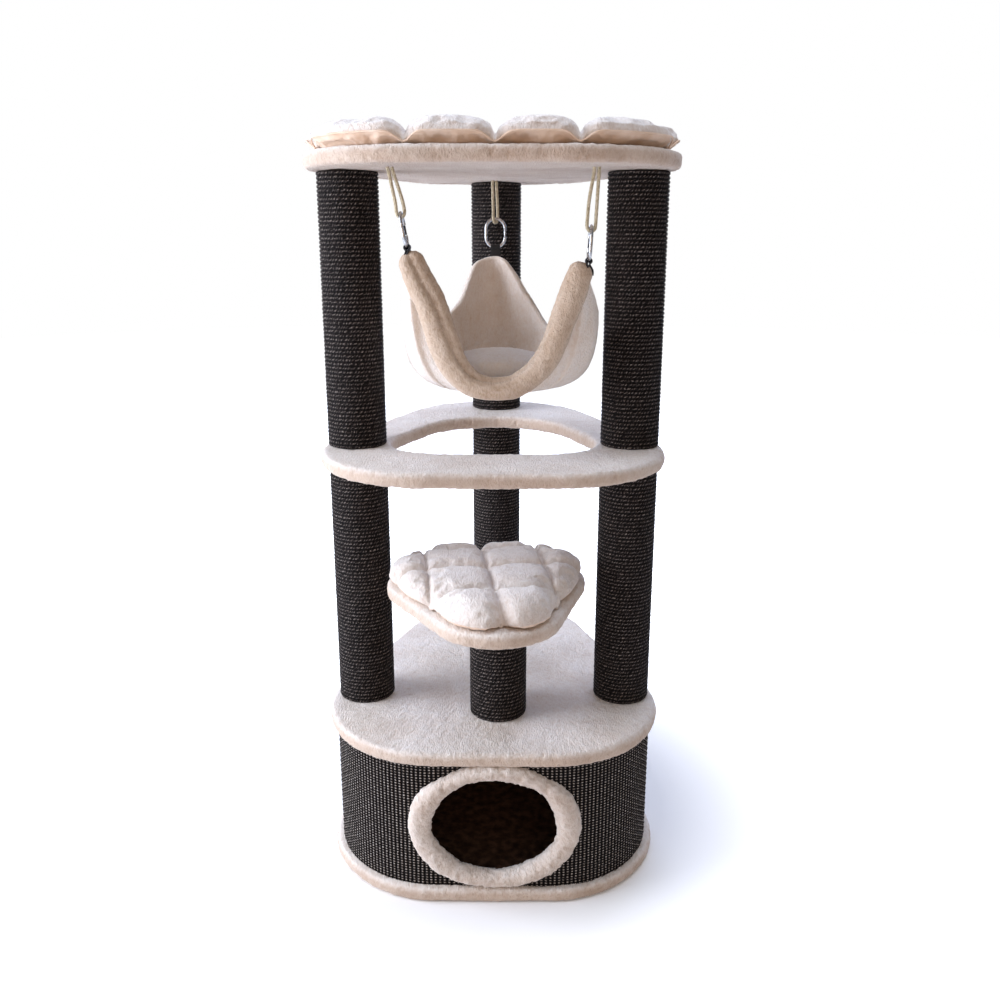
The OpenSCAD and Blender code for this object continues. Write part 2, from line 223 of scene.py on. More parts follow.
def grid_object(name: str, points: Array, ends: Ends = Ends.POLES, smooth: bool = True) -> Thing:
    """A surface from a grid whose columns wrap round.

    With poles, the first and last rows shrink to one vertex each, so the piece is closed. Joined, the last
    row meets the first, as on a ring.

    Args:
        name: the piece's name.
        points: rows by columns by 3, in mm.
        ends: how the rows end.
        smooth: shade it smooth.

    Returns:
        The object.
    """
    rows, cols = points.shape[:2]
    if ends is Ends.POLES:
        body = points[1:-1]
        inner = rows - 2
        first, last = inner * cols, inner * cols + 1
        verts = np.concatenate([body.reshape(-1, 3), points[0].mean(0)[None], points[-1].mean(0)[None]])
        j = np.arange(cols)
        k = (j + 1) % cols
        top = (inner - 1) * cols
        faces = quads(inner, cols, False, True).tolist()
        faces += np.stack([k, j, np.full(cols, first)], -1).tolist()
        faces += np.stack([top + j, top + k, np.full(cols, last)], -1).tolist()
        return make_object(name, verts, faces, smooth)
    return make_object(name, points.reshape(-1, 3), quads(rows, cols, ends is Ends.JOINED, True), smooth)


def set_uv(obj: Thing, uv: Array) -> None:
    """Store one UV per face corner, in loop order."""
    layer = obj.data.uv_layers.new(name="pattern")
    layer.data.foreach_set("uv", np.asarray(uv, np.float32).ravel())


def smooth_path(points: Sequence[Sequence[float]], count: int, closed: bool = False) -> Array:
    """A smooth curve through points: Catmull-Rom segments, then spaced evenly by arc length.

    Args:
        points: the points it passes through.
        count: how many points come back.
        closed: the curve joins its ends.

    Returns:
        count by dimension.
    """
    p = np.asarray(points, float)
    n = len(p)
    if closed:
        ext = np.concatenate([p[-1:], p, p[:2]])
        segments = n
    else:
        ext = np.concatenate([2 * p[:1] - p[1:2], p, 2 * p[-1:] - p[-2:-1]])
        segments = n - 1
    t = np.linspace(0, 1, 24, endpoint=False)[:, None, None]
    a, b, c, d = (ext[k : k + segments][None] for k in range(4))
    curve = 0.5 * (2 * b + (c - a) * t + (2 * a - 5 * b + 4 * c - d) * t**2 + (3 * b - a - 3 * c + d) * t**3)
    dense = curve.transpose(1, 0, 2).reshape(-1, p.shape[1])
    dense = np.concatenate([dense, p[:1] if closed else p[-1:]])
    step = np.concatenate([[0], np.cumsum(np.linalg.norm(np.diff(dense, axis=0), axis=1))])
    want = np.linspace(0, step[-1], count, endpoint=not closed)
    return np.stack([np.interp(want, step, dense[:, k]) for k in range(p.shape[1])], -1)


def frames_along(path: Array, across: Sequence[float], closed: bool = False) -> tuple[Array, Array]:
    """Two unit vectors across a path at each point: a fixed direction made square to it, and their cross.

    Args:
        path: n by 3.
        across: a direction that is nowhere along the path, such as the normal of a flat path's plane.
        closed: the path joins its ends.

    Returns:
        The side vectors and the up vectors, each n by 3.
    """
    if closed:
        tangent = np.roll(path, -1, 0) - np.roll(path, 1, 0)
    else:
        tangent = np.gradient(path, axis=0)
    tangent /= np.linalg.norm(tangent, axis=1, keepdims=True)
    fixed = np.asarray(across, float)
    side = fixed - tangent * (tangent @ fixed)[:, None]
    side /= np.linalg.norm(side, axis=1, keepdims=True)
    return side, np.cross(tangent, side)


def tube_grid(
    path: Array, radius: Array | float, sides: int, start: Sequence[float], closed: bool = False
) -> Array:
    """A round tube: a circle across the path at each point, its radius free to vary by point and side.

    Args:
        path: n by 3.
        radius: one number, n, or n by sides.
        sides: points round it.
        start: a direction across the path.
        closed: the path joins its ends.

    Returns:
        n by sides by 3, with faces outwards when used as rows.
    """
    side, up = frames_along(path, start, closed)
    a = np.linspace(0, 2 * np.pi, sides, endpoint=False)
    by_point = np.asarray(radius, float).reshape(-1, 1) if np.ndim(radius) == 1 else radius
    r = np.broadcast_to(by_point, (len(path), sides))
    ring = np.cos(a)[None, :, None] * side[:, None] + np.sin(a)[None, :, None] * up[:, None]
    return path[:, None] + r[..., None] * ring


def outward(obj: Thing) -> None:
    """Turn every face outwards.

    Args:
        obj: a closed piece.
    """
    bm = bmesh.new()
    bm.from_mesh(obj.data)
    bmesh.ops.recalc_face_normals(bm, faces=bm.faces)
    bm.to_mesh(obj.data)
    bm.free()


def coordinates(obj: Thing) -> Array:
    """The mesh's points.

    Args:
        obj: a mesh object, or its evaluated copy.

    Returns:
        n by 3, in mm.
    """
    co = np.empty(len(obj.data.vertices) * 3, np.float32)
    obj.data.vertices.foreach_get("co", co)
    return co.reshape(-1, 3).astype(float) / MM


def face_centres(obj: Thing) -> Array:
    """The faces' middles.

    Args:
        obj: a mesh object.

    Returns:
        n by 3, in mm.
    """
    co = np.empty(len(obj.data.polygons) * 3, np.float32)
    obj.data.polygons.foreach_get("center", co)
    return co.reshape(-1, 3).astype(float) / MM


def vertex_normals(obj: Thing) -> Array:
    """The mesh's vertex normals.

    Args:
        obj: a mesh object.

    Returns:
        n by 3, of unit length.
    """
    n = np.empty(len(obj.data.vertices) * 3, np.float32)
    obj.data.vertices.foreach_get("normal", n)
    return n.reshape(-1, 3).astype(float)


def set_coordinates(obj: Thing, points: Array) -> None:
    """Put points, in mm, back into the mesh."""
    obj.data.vertices.foreach_set("co", (points * MM).astype(np.float32).ravel())
    obj.data.update()


def bake_modifiers(obj: Thing) -> None:
    """Replace the mesh by what its modifiers make of it.

    Args:
        obj: a mesh object with live modifiers.
    """
    bpy.context.view_layer.update()
    mesh = bpy.data.meshes.new_from_object(obj.evaluated_get(bpy.context.evaluated_depsgraph_get()))
    obj.modifiers.clear()
    old = obj.data
    obj.data = mesh
    mesh.name = obj.name
    bpy.data.meshes.remove(old)
    mesh.polygons.foreach_set("use_smooth", np.full(len(mesh.polygons), True))


# ---------------------------------------------------------------- finishes


class Finish:
    """A material that is built once and shared."""

    def __init__(self, name: str, slot: str) -> None:
        """Name the material and the record's slot it belongs to.

        Args:
            name: the real material's name.
            slot: the record's slot.
        """
        self.name = name
        self.slot = slot
        self.material = bpy.data.materials.new(name)
        self.material.use_nodes = True
        self.tree = self.material.node_tree
        self.shader = self.tree.nodes["Principled BSDF"]

    def set(self, **values: Any) -> None:
        """Set constants on the shader's own sockets, underscores standing for spaces."""
        for key, value in values.items():
            self.shader.inputs[key.replace("_", " ")].default_value = value

    def link(self, key: str, socket: Socket) -> None:
        """Link a socket to the shader."""
        self.tree.links.new(socket, self.shader.inputs[key])

    def noise(self, size_mm: float, detail: float = 2.0, stretch: Sequence[float] = (1, 1, 1)) -> Socket:
        """Noise on Object coordinates whose blobs are about size_mm across.

        Args:
            size_mm: the size of a blob.
            detail: Blender's detail setting.
            stretch: how many times longer a blob is along each axis.

        Returns:
            The noise value's socket.
        """
        place = add_node(self.tree, "ShaderNodeTexCoord")
        scale = tuple(1 / s for s in stretch)
        turned = add_node(self.tree, "ShaderNodeMapping", {"Vector": place.outputs["Object"], "Scale": scale})
        inputs = {"Vector": turned.outputs[0], "Scale": 1 / (size_mm * MM), "Detail": detail}
        return add_node(self.tree, "ShaderNodeTexNoise", inputs).outputs["Fac"]

    def ramp(self, value: Socket, *stops: tuple[float, str]) -> Socket:
        """Colours along a value.

        Args:
            value: the socket that picks the colour.
            *stops: position and hex colour pairs.

        Returns:
            The colour's socket.
        """
        node = add_node(self.tree, "ShaderNodeValToRGB", {"Fac": value})
        band = node.color_ramp
        while len(band.elements) < len(stops):
            band.elements.new(0.5)
        for element, (at, colour) in zip(band.elements, stops):
            element.position = at
            element.color = linear(colour)
        return node.outputs["Color"]

    def blend(self, a: Socket, b: Socket, share: Any, kind: str = "MIX") -> Socket:
        """Mix two colours.

        Args:
            a: the first.
            b: the second.
            share: how much of the second.
            kind: Blender's blend type.

        Returns:
            The mixed colour's socket.
        """
        node = add_node(self.tree, "ShaderNodeMix", {0: share, 6: a, 7: b}, data_type="RGBA", blend_type=kind)
        return node.outputs[2]

    def maths(self, kind: str, *values: Any) -> Socket:
        """A sum on sockets and numbers, its kind by Blender's name."""
        return add_node(self.tree, "ShaderNodeMath", dict(enumerate(values)), operation=kind).outputs[0]

    def bump(self, *layers: tuple[Socket, float, float]) -> None:
        """Chain bump layers into the shader.

        Args:
            *layers: height socket, strength and depth in mm of each layer.
        """
        last = None
        for height, strength, depth in layers:
            inputs = {"Height": height, "Strength": strength, "Distance": depth * MM}
            if last is not None:
                inputs["Normal"] = last
            last = add_node(self.tree, "ShaderNodeBump", inputs).outputs[0]
        self.link("Normal", last)


class Plush(Finish):
    """Short-pile polyester plush: matt, softly bright at its edges where the pile stands, in streaks."""

    def __init__(self, name: str, slot: str, body: str, shade: str, pale: str) -> None:
        """Tufts from the piece's own pile, 2.2 by 6.6 mm streaks, fibre drawn at 1.2 mm, and 70 mm patches;
        the tufts carry painted shade in their hollows and a painted highlight on their tips.

        Args:
            name: the material's name.
            slot: the record's slot.
            body: its main colour.
            shade: the colour between the tufts, as painted shade in their hollows, and the darker tone of
                streaks and patches.
            pale: the colour of the tufts' tips, partly their own paler fibre and partly a painted highlight,
                and the paler tone of streaks and patches.
        """
        super().__init__(name, slot)
        pile = add_node(self.tree, "ShaderNodeAttribute", attribute_name="pile").outputs["Fac"]
        streak = self.noise(2.2, 3, (1, 3, 1.6))
        fibre = self.noise(1.2, 2)
        wide = self.noise(70, 3, (1.6, 1, 1))
        # Painted shade in the hollows between the tufts and a painted highlight on their tips, partly the
        # fur's own paler tips.
        colour = self.ramp(pile, (0.0, shade), (0.34, body), (0.85, pale))
        colour = self.blend(colour, self.ramp(streak, (0.3, shade), (0.6, pale)), 0.28)
        colour = self.blend(colour, self.ramp(wide, (0.34, shade), (0.5, body), (0.64, pale)), 0.24)
        # Painted shade: faces that turn sideways are multiplied towards a warm tan, by the rim attribute.
        rim = add_node(self.tree, "ShaderNodeAttribute", attribute_name="rim").outputs["Fac"]
        painted_side_tan = self.ramp(wide, (0.3, "#C7AC92"), (0.7, "#D8C2AB"))
        colour = self.blend(colour, painted_side_tan, rim, "MULTIPLY")
        self.link("Base Color", colour)
        self.set(Roughness=0.95, Sheen_Weight=0.45, Sheen_Roughness=0.4, Specular_IOR_Level=0.15)
        self.bump((streak, 0.9, 2.2), (fibre, 0.7, 1.0))


class SmoothPlush(Finish):
    """Brushed knit side of the same fabric: smooth, matt and a little warmer."""

    def __init__(self, name: str, slot: str) -> None:
        """A faint 1 mm grain and wide tone changes.

        Args:
            name: the material's name.
            slot: the record's slot.
        """
        super().__init__(name, slot)
        wide = self.noise(30, 3)
        grain = self.noise(1.0, 2)
        self.link("Base Color", self.ramp(wide, (0.3, "#DDBFA4"), (0.7, "#F0DAC6")))
        self.set(Roughness=0.9, Sheen_Weight=0.3, Sheen_Roughness=0.5, Specular_IOR_Level=0.2)
        self.bump((wide, 0.3, 1.5), (grain, 0.35, 0.3))


class SisalRope(Finish):
    """Three-strand dyed sisal rope: dark brown-grey and rough; a painted highlight lightens each strand's
    crown, and painted shade, near black, fills the grooves between strands.
    """

    def __init__(self) -> None:
        """The UV map runs along the rope in strands and across it from 0 to 1."""
        super().__init__("dyed_sisal_rope", "sisal_rope")
        uv = add_node(self.tree, "ShaderNodeUVMap", uv_map="pattern").outputs[0]
        parts = add_node(self.tree, "ShaderNodeSeparateXYZ", {0: uv})
        wobble = self.maths("MULTIPLY", self.noise(9, 4), 2.9)
        phase = self.maths("ADD", self.maths("SUBTRACT", parts.outputs[0], parts.outputs[1]), wobble)
        strand = self.maths("ABSOLUTE", self.maths("SINE", self.maths("MULTIPLY", phase, math.pi)))
        across = self.maths("SINE", self.maths("MULTIPLY", parts.outputs[1], math.pi))
        # Painted highlight on each strand's crown; the grooves, where it is 0, take the painted near-black
        # shade.
        crown = self.maths("MULTIPLY", strand, across)
        fibre = self.noise(1.3, 3)
        patch = self.noise(14, 3)
        stray_fibre_glint = self.ramp(self.noise(2.6, 4), (0.6, "#000000"), (0.72, "#9A8F88"))
        tone = self.maths("ADD", self.maths("MULTIPLY", crown, 0.5), self.maths("MULTIPLY", fibre, 0.8))
        colour = self.ramp(tone, (0.32, "#030303"), (0.62, "#1C1817"), (0.82, "#4A4340"), (0.98, "#A89E96"))
        colour = self.blend(colour, self.ramp(patch, (0.4, "#1D1817"), (0.7, "#403633")), 0.2)
        # Pale flecks screened on along the crowns only: partly the rope's own stray fibres, partly a painted
        # highlight.
        colour = self.blend(colour, stray_fibre_glint, self.maths("MULTIPLY", crown, 0.35), "SCREEN")
        self.link("Base Color", colour)
        self.set(Roughness=0.7, Specular_IOR_Level=0.12)
        self.bump((strand, 1.0, 2.2), (fibre, 0.6, 0.7))


class WovenSisal(Finish):
    """Coarse woven sisal carpet: charcoal ribs flecked with pale fibres, with painted shade between the ribs
    and a painted highlight on their crowns.
    """

    def __init__(self) -> None:
        """The UV map counts ribs along the wall and weft rows up it."""
        super().__init__("woven_sisal_carpet", "woven_sisal")
        uv = add_node(self.tree, "ShaderNodeUVMap", uv_map="pattern").outputs[0]
        parts = add_node(self.tree, "ShaderNodeSeparateXYZ", {0: uv})
        rib = self.maths("ABSOLUTE", self.maths("SINE", self.maths("MULTIPLY", parts.outputs[0], math.pi)))
        knot = self.maths("ABSOLUTE", self.maths("SINE", self.maths("MULTIPLY", parts.outputs[1], math.pi)))
        # Painted highlight where rib and knot crown, painted shade in the gaps between them, where the tone
        # falls to near black.
        crown = self.maths("MULTIPLY", rib, knot)
        fleck = self.noise(2.2, 4)
        fibre = self.noise(0.8, 2)
        tone = self.maths("ADD", self.maths("MULTIPLY", crown, 0.62), self.maths("MULTIPLY", fleck, 0.55))
        colour = self.ramp(tone, (0.36, "#050404"), (0.58, "#221E1C"), (0.77, "#655D57"), (0.94, "#CFC6BD"))
        self.link("Base Color", colour)
        self.set(Roughness=0.85, Specular_IOR_Level=0.1)
        self.bump((crown, 1.0, 2.0), (fleck, 0.5, 0.8), (fibre, 0.5, 0.4))


class Twine(Finish):
    """Natural jute twine: pale straw, hairy and matt, darker between its strands."""

    def __init__(self) -> None:
        """Long thin fibres over a straw tone."""
        super().__init__("jute_twine", "twine")
        fibre = self.noise(1.1, 4, (1, 1, 4))
        self.link("Base Color", self.ramp(fibre, (0.3, "#857961"), (0.5, "#C3B698"), (0.75, "#E6DDCB")))
        self.set(Roughness=0.85, Specular_IOR_Level=0.25, Sheen_Weight=0.2)
        self.bump((fibre, 0.6, 0.5))


class Webbing(Finish):
    """Black polypropylene webbing: fine woven ribs with a slight gloss."""

    def __init__(self) -> None:
        """Ribs of 1.2 mm, drawn as a wave."""
        super().__init__("black_webbing", "webbing")
        place = add_node(self.tree, "ShaderNodeTexCoord").outputs["Object"]
        inputs = {"Vector": place, "Scale": 260.0, "Distortion": 1.0}
        weave = add_node(self.tree, "ShaderNodeTexWave", inputs, bands_direction="Z").outputs["Fac"]
        self.link("Base Color", self.ramp(weave, (0.2, "#050506"), (0.8, "#1B1B1E")))
        self.set(Roughness=0.6)
        self.bump((weave, 0.5, 0.3))


class Metal(Finish):
    """Plated steel, bright or blackened, with a faint handling haze."""

    def __init__(self, name: str, slot: str, low: str, high: str, roughness: float) -> None:
        """Two tones of one plating, and how rough it is.

        Args:
            name: the material's name.
            slot: the record's slot.
            low: the darker tone.
            high: the lighter tone.
            roughness: its middle roughness.
        """
        super().__init__(name, slot)
        haze = self.noise(6, 4)
        self.link("Base Color", self.ramp(haze, (0.35, low), (0.65, high)))
        rough = add_node(self.tree, "ShaderNodeMapRange", {0: haze, 3: roughness * 0.7, 4: roughness * 1.4})
        self.link("Roughness", rough.outputs[0])
        self.set(Metallic=1.0)
        self.bump((self.noise(0.8, 2), 0.08, 0.05))


class Chipboard(Finish):
    """Raw pressed wood: tan flakes of several tones."""

    def __init__(
        self, name: str, slot: str, dark: str, mid: str, light: str, flake_mm: float, rough: float = 0.85
    ) -> None:
        """Three tones and the flake's size.

        Args:
            name: the material's name.
            slot: the record's slot.
            dark: the darkest flakes.
            mid: most flakes.
            light: the palest flakes.
            flake_mm: how large a flake is.
            rough: its roughness.
        """
        super().__init__(name, slot)
        flake = self.noise(flake_mm, 5)
        self.link("Base Color", self.ramp(flake, (0.3, dark), (0.5, mid), (0.7, light)))
        self.set(Roughness=rough, Specular_IOR_Level=0.06)
        self.bump((flake, 0.3, 0.4), (self.noise(flake_mm / 5, 2), 0.3, 0.2))


def made(kind: Callable[..., Finish], *values: Any) -> Any:
    """A dataclass field whose finish is built when the palette is."""
    return field(default_factory=lambda: kind(*values))


@dataclass
class Palette:
    """Every finish of the tree, built once."""

    top_plush: Plush = made(Plush, "cream_plush", "plush", "#E8DCD1", "#C2A994", "#F4EEE8")
    cushion_plush: Plush = made(
        Plush, "cushion_cream_plush", "cushion_plush", "#EDE5DE", "#D2BFAF", "#F8F4F0")
    # Painted light: a paler copy of the plush for the pouch, whose inside lies in shade under the top board.
    hammock_plush: Plush = made(
        Plush, "hammock_lit_cream_plush", "cushion_plush", "#F0E4D8", "#D8C2AD", "#F8F2EC")
    # Painted highlight: a near-white copy of the cushion plush for the hammock's floor pad, standing in for
    # light that does not reach it.
    pad_plush: Plush = made(Plush, "hammock_pad_plush", "cushion_plush", "#FAF6F2", "#E8DDD2", "#FFFFFF")
    # Painted shade: a darker, warmer copy of the plush for the hammock's front roll.
    roll_plush: Plush = made(Plush, "hammock_roll_plush", "cushion_plush", "#CDB69F", "#A88B71", "#E0CFBE")
    smooth: SmoothPlush = made(SmoothPlush, "brushed_knit", "cushion_plush")
    rope: SisalRope = made(SisalRope)
    carpet: WovenSisal = made(WovenSisal)
    twine: Twine = made(Twine)
    webbing: Webbing = made(Webbing)
    zinc: Metal = made(Metal, "zinc_plated_steel", "zinc_steel", "#A9ABAE", "#D6D8DA", 0.25)
    dark_steel: Metal = made(Metal, "blackened_steel", "dark_steel", "#2C2C30", "#4A4A4E", 0.35)
    chipboard: Chipboard = made(
        Chipboard, "raw_chipboard", "chipboard", "#8A6B45", "#B8925F", "#D8B988", 4)
    cardboard: Chipboard = made(
        Chipboard, "grey_cardboard", "cardboard_tube", "#7C6448", "#9A7F5E", "#B29A78", 2)
    hardboard: Chipboard = made(
        Chipboard, "dark_hardboard", "hardboard", "#3A2C25", "#574236", "#745A4B", 14)
    disc: Chipboard = made(
        Chipboard, "moulded_nylon", "slip_disc", "#D4D4D2", "#DDDDDB", "#E6E6E4", 20, 0.4)


def dress(obj: Thing, finish: Finish) -> Thing:
    """Give a piece its finish.

    Args:
        obj: the piece.
        finish: its material.

    Returns:
        The piece.
    """
    obj.data.materials.clear()
    obj.data.materials.append(finish.material)
    return obj


def place(obj: Thing, body: str, finish: Finish, *replaced: str) -> Thing:
    """Dress a piece, let it ride on a body and stand for CAD nodes, and report it.

    Args:
        obj: the piece.
        body: the CAD body it moves with.
        finish: its material.
        *replaced: CAD nodes it stands for.

    Returns:
        The piece.
    """
    dress(obj, finish)
    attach(obj, body)
    if replaced:
        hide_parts(*replaced)
    log.info("%s: %d faces on %s", obj.name, len(obj.data.polygons), body)
    return obj


# ---------------------------------------------------------------- shared shapes


@dataclass(frozen=True)
class Egg:
    """An outline with two wide front corners and one narrower rear end, in mm.

    It is the hull of three circles: two of radius corner at the front and one of radius tip at the back.
    """

    half_w: float
    half_d: float
    corner: float
    tip: float

    def line(self, count: int) -> tuple[Array, Array]:
        """Points evenly spaced round the outline, with their outward unit normals.

        Args:
            count: how many.

        Returns:
            Two arrays, count by 2.
        """
        cx, cy, ty = self.half_w - self.corner, self.corner - self.half_d, self.half_d - self.tip
        gap = math.hypot(cx, ty - cy)
        a = math.atan2(cx, ty - cy) + math.asin((self.corner - self.tip) / gap)
        quarter = math.pi / 2
        runs = (
            (cx, cy, self.corner, -quarter, a), (0, ty, self.tip, a, math.pi - a),
            (-cx, cy, self.corner, math.pi - a, 3 * quarter))
        points, angles = [], []
        for x, y, r, start, stop in runs:
            t = np.linspace(start, stop, 200)
            points.append(np.stack([x + r * np.cos(t), y + r * np.sin(t)], -1))
            angles.append(t)
        p = np.concatenate(points)
        t = np.concatenate(angles)
        p = np.concatenate([p, p[:1]])
        t = np.concatenate([t, [3 * quarter]])
        step = np.concatenate([[0], np.cumsum(np.linalg.norm(np.diff(p, axis=0), axis=1))])
        want = np.linspace(0, step[-1], count, endpoint=False)
        keep = np.concatenate([[True], np.diff(step) > 1e-9])
        line = np.stack([np.interp(want, step[keep], p[keep, k]) for k in (0, 1)], -1)
        angle = np.interp(want, step[keep], t[keep])
        return line, np.stack([np.cos(angle), np.sin(angle)], -1)

    def depth(self, xy: Array) -> Array:
        """How far inside the outline each point is, negative outside.

        For a hull of circles this is the least distance to the outline, signed by the nearest normal.

        Args:
            xy: plan points, any shape by 2.

        Returns:
            One distance per point, in mm.
        """
        line, normal = self.line(540)
        flat = xy.reshape(-1, 2)
        best = np.empty(len(flat))
        for start in range(0, len(flat), 4000):
            part = flat[start : start + 4000]
            best[start : start + 4000] = (((line[None] - part[:, None]) * normal[None]).sum(-1)).min(1)
        return best.reshape(xy.shape[:-1])


PLATFORM = Egg(264.8, 295.5, 178.4, 170.3)
SEAT = Egg(154, 159.5, 100, 95)
BASE_TOP = 253.0
SLAB = 22.0
RING_Z = 653.0
TOP_Z = 1075.0
POSTS = {"left": (-210.0, -97.0), "right": (210.0, -97.0), "rear": (0.0, 227.0)}
SHORT_POST = (8.0, -156.5)
SEAT_Z = 448.3
SEAT_TURN = math.radians(187.9)
SEAT_BOLT = np.array([-16.0, -42.7])
HOOKS = {  # where each hook's middle is, and its lean about Y in degrees
    "left": ((-117.2, -215.0, 993.5), -10.0),
    "right": ((132.4, -215.0, 976.2), 3.0),
    "rear": ((0.6, 96.0, 990.0), 0.0),
}
RIM_ROUND = 0.62  # how square a covered board's edge is in plan, 1 being a circle
RIM_BULGE = 0.85  # and in height
PILE_CELLS = (3.6, 9.0, 36.0)  # sizes of the pile's fine tufts, its clumps and its waves
PILE_HEIGHTS = (0.75, 0.55, 0.8)  # how high each of them stands
CLOTH_VOXEL = 5.0
CLOTH_FRAMES = 14
CHANNEL_DEEP = 5.5
CHANNEL_WIDE = 3.0
PINCH_WIDE = 13.0


def fluff(obj: Thing, seed: int, amount: float = 1.0, side_shade: float = 0.0) -> None:
    """Raise a soft pile: move each point along its normal by noise of 3.6, 9 and 36 mm cells.

    The height of the tufts, from 0 to 1, is kept as the attribute "pile", and how much painted warm shade
    falls on faces that turn sideways as "rim". The plush is coloured by both: painted shade and highlight by
    the pile, painted shade by the rim.

    Args:
        obj: the piece, its faces pointing outwards.
        seed: picks the noise.
        amount: how high the pile stands.
        side_shade: how much painted warm shade falls where the piece faces sideways, darkening its sides.
    """
    points = coordinates(obj)
    fine = lattice_noise(points, PILE_CELLS[0], seed)
    clump = lattice_noise(points * np.array([1, 1, 0.7]), PILE_CELLS[1], seed + 1)
    wide = lattice_noise(points, PILE_CELLS[2], seed + 2)
    shift = (PILE_HEIGHTS[0] * fine + PILE_HEIGHTS[1] * clump + PILE_HEIGHTS[2] * wide) * amount
    normals = vertex_normals(obj)
    set_coordinates(obj, points + normals * shift[:, None])
    # The tufts' height, which the plush paints darker in the hollows (painted shade) and paler at the tips
    # (painted highlight).
    pile = np.clip(0.5 + 0.38 * fine + 0.12 * clump, 0, 1)
    # Painted shade: the more a face turns from straight up, the more warm shade is painted on it.
    rim = side_shade * np.clip(1.15 - 1.5 * normals[:, 2], 0, 1)
    for name, values in (("pile", pile), ("rim", rim)):
        obj.data.attributes.new(name, "FLOAT", "POINT").data.foreach_set("value", values.astype(np.float32))


def rim_section(thick: float, sag: float) -> tuple[Array, Array]:
    """The outside of a covered board's edge from its underside to its top: insets and heights.

    It is a squarish round: inset = r (1 - cos(a)^0.6), height = r sin(a)^0.8 about the middle, with the
    underside's seam drawn up by sag just inside the rim.

    Args:
        thick: the slab's thickness.
        sag: how far the rim hangs below the flat underside.

    Returns:
        Insets and heights above the slab's bottom.
    """
    r = thick / 2
    a = np.radians(np.linspace(-90, 90, 17))
    inset = r * (1 - np.cos(a) ** RIM_ROUND)
    height = r + r * np.sign(np.sin(a)) * np.abs(np.sin(a)) ** RIM_BULGE
    under_in = np.array([30.0, 21.0, 18.0, 15.5])
    under_z = np.array([sag, sag, sag + 0.4, sag * 0.3])
    top_in = np.array([16.0, 22.0, 30.0])
    top_z = np.full(3, thick)
    heights = np.concatenate([under_z if sag else np.zeros(4), height, top_z])
    return np.concatenate([under_in, inset, top_in]), heights


def plush_slab(
    name: str, egg: Egg, low: float, inset: float, seed: int, sag: float = 0.0,
    place_at: Callable[[Array], Array] | None = None, columns: int = 640,
) -> Thing:
    """A plush-covered board: the outline carried through the rim's section, then drawn in to its middle.

    Args:
        name: the piece's name.
        egg: its outline.
        low: the height of its underside.
        inset: how far inside the egg it stays.
        seed: for the pile's noise.
        sag: how far the rim hangs below the underside.
        place_at: moves plan points into the row frame.
        columns: points round it.

    Returns:
        The object.
    """
    line, normal = egg.line(columns)
    insets, heights = rim_section(SLAB, sag)
    rim = line[None] - normal[None] * (insets + inset)[:, None, None]
    shares = np.linspace(0, 1, 64)[:-1] ** 0.8
    few = np.linspace(0, 1, 20)[:-1] ** 0.8
    under = rim[0][None] * few[:, None, None]
    over = rim[-1][None] * shares[::-1][:, None, None]
    plan = np.concatenate([under, rim, over])
    z = np.concatenate([np.full(len(few), heights[0]), heights, np.full(len(shares), heights[-1])])
    points = raised(plan, low + z)
    obj = grid_object(name, points)
    outward(obj)
    fluff(obj, seed, 1.0, 0.62)
    soft = coordinates(obj)
    soft[:, 2] = np.maximum(soft[:, 2], low - 1.0 if low > 1 else 0.0)
    if place_at is not None:
        soft[:, :2] = place_at(soft[:, :2])
    set_coordinates(obj, soft)
    return obj


# ---------------------------------------------------------------- sub-assemblies


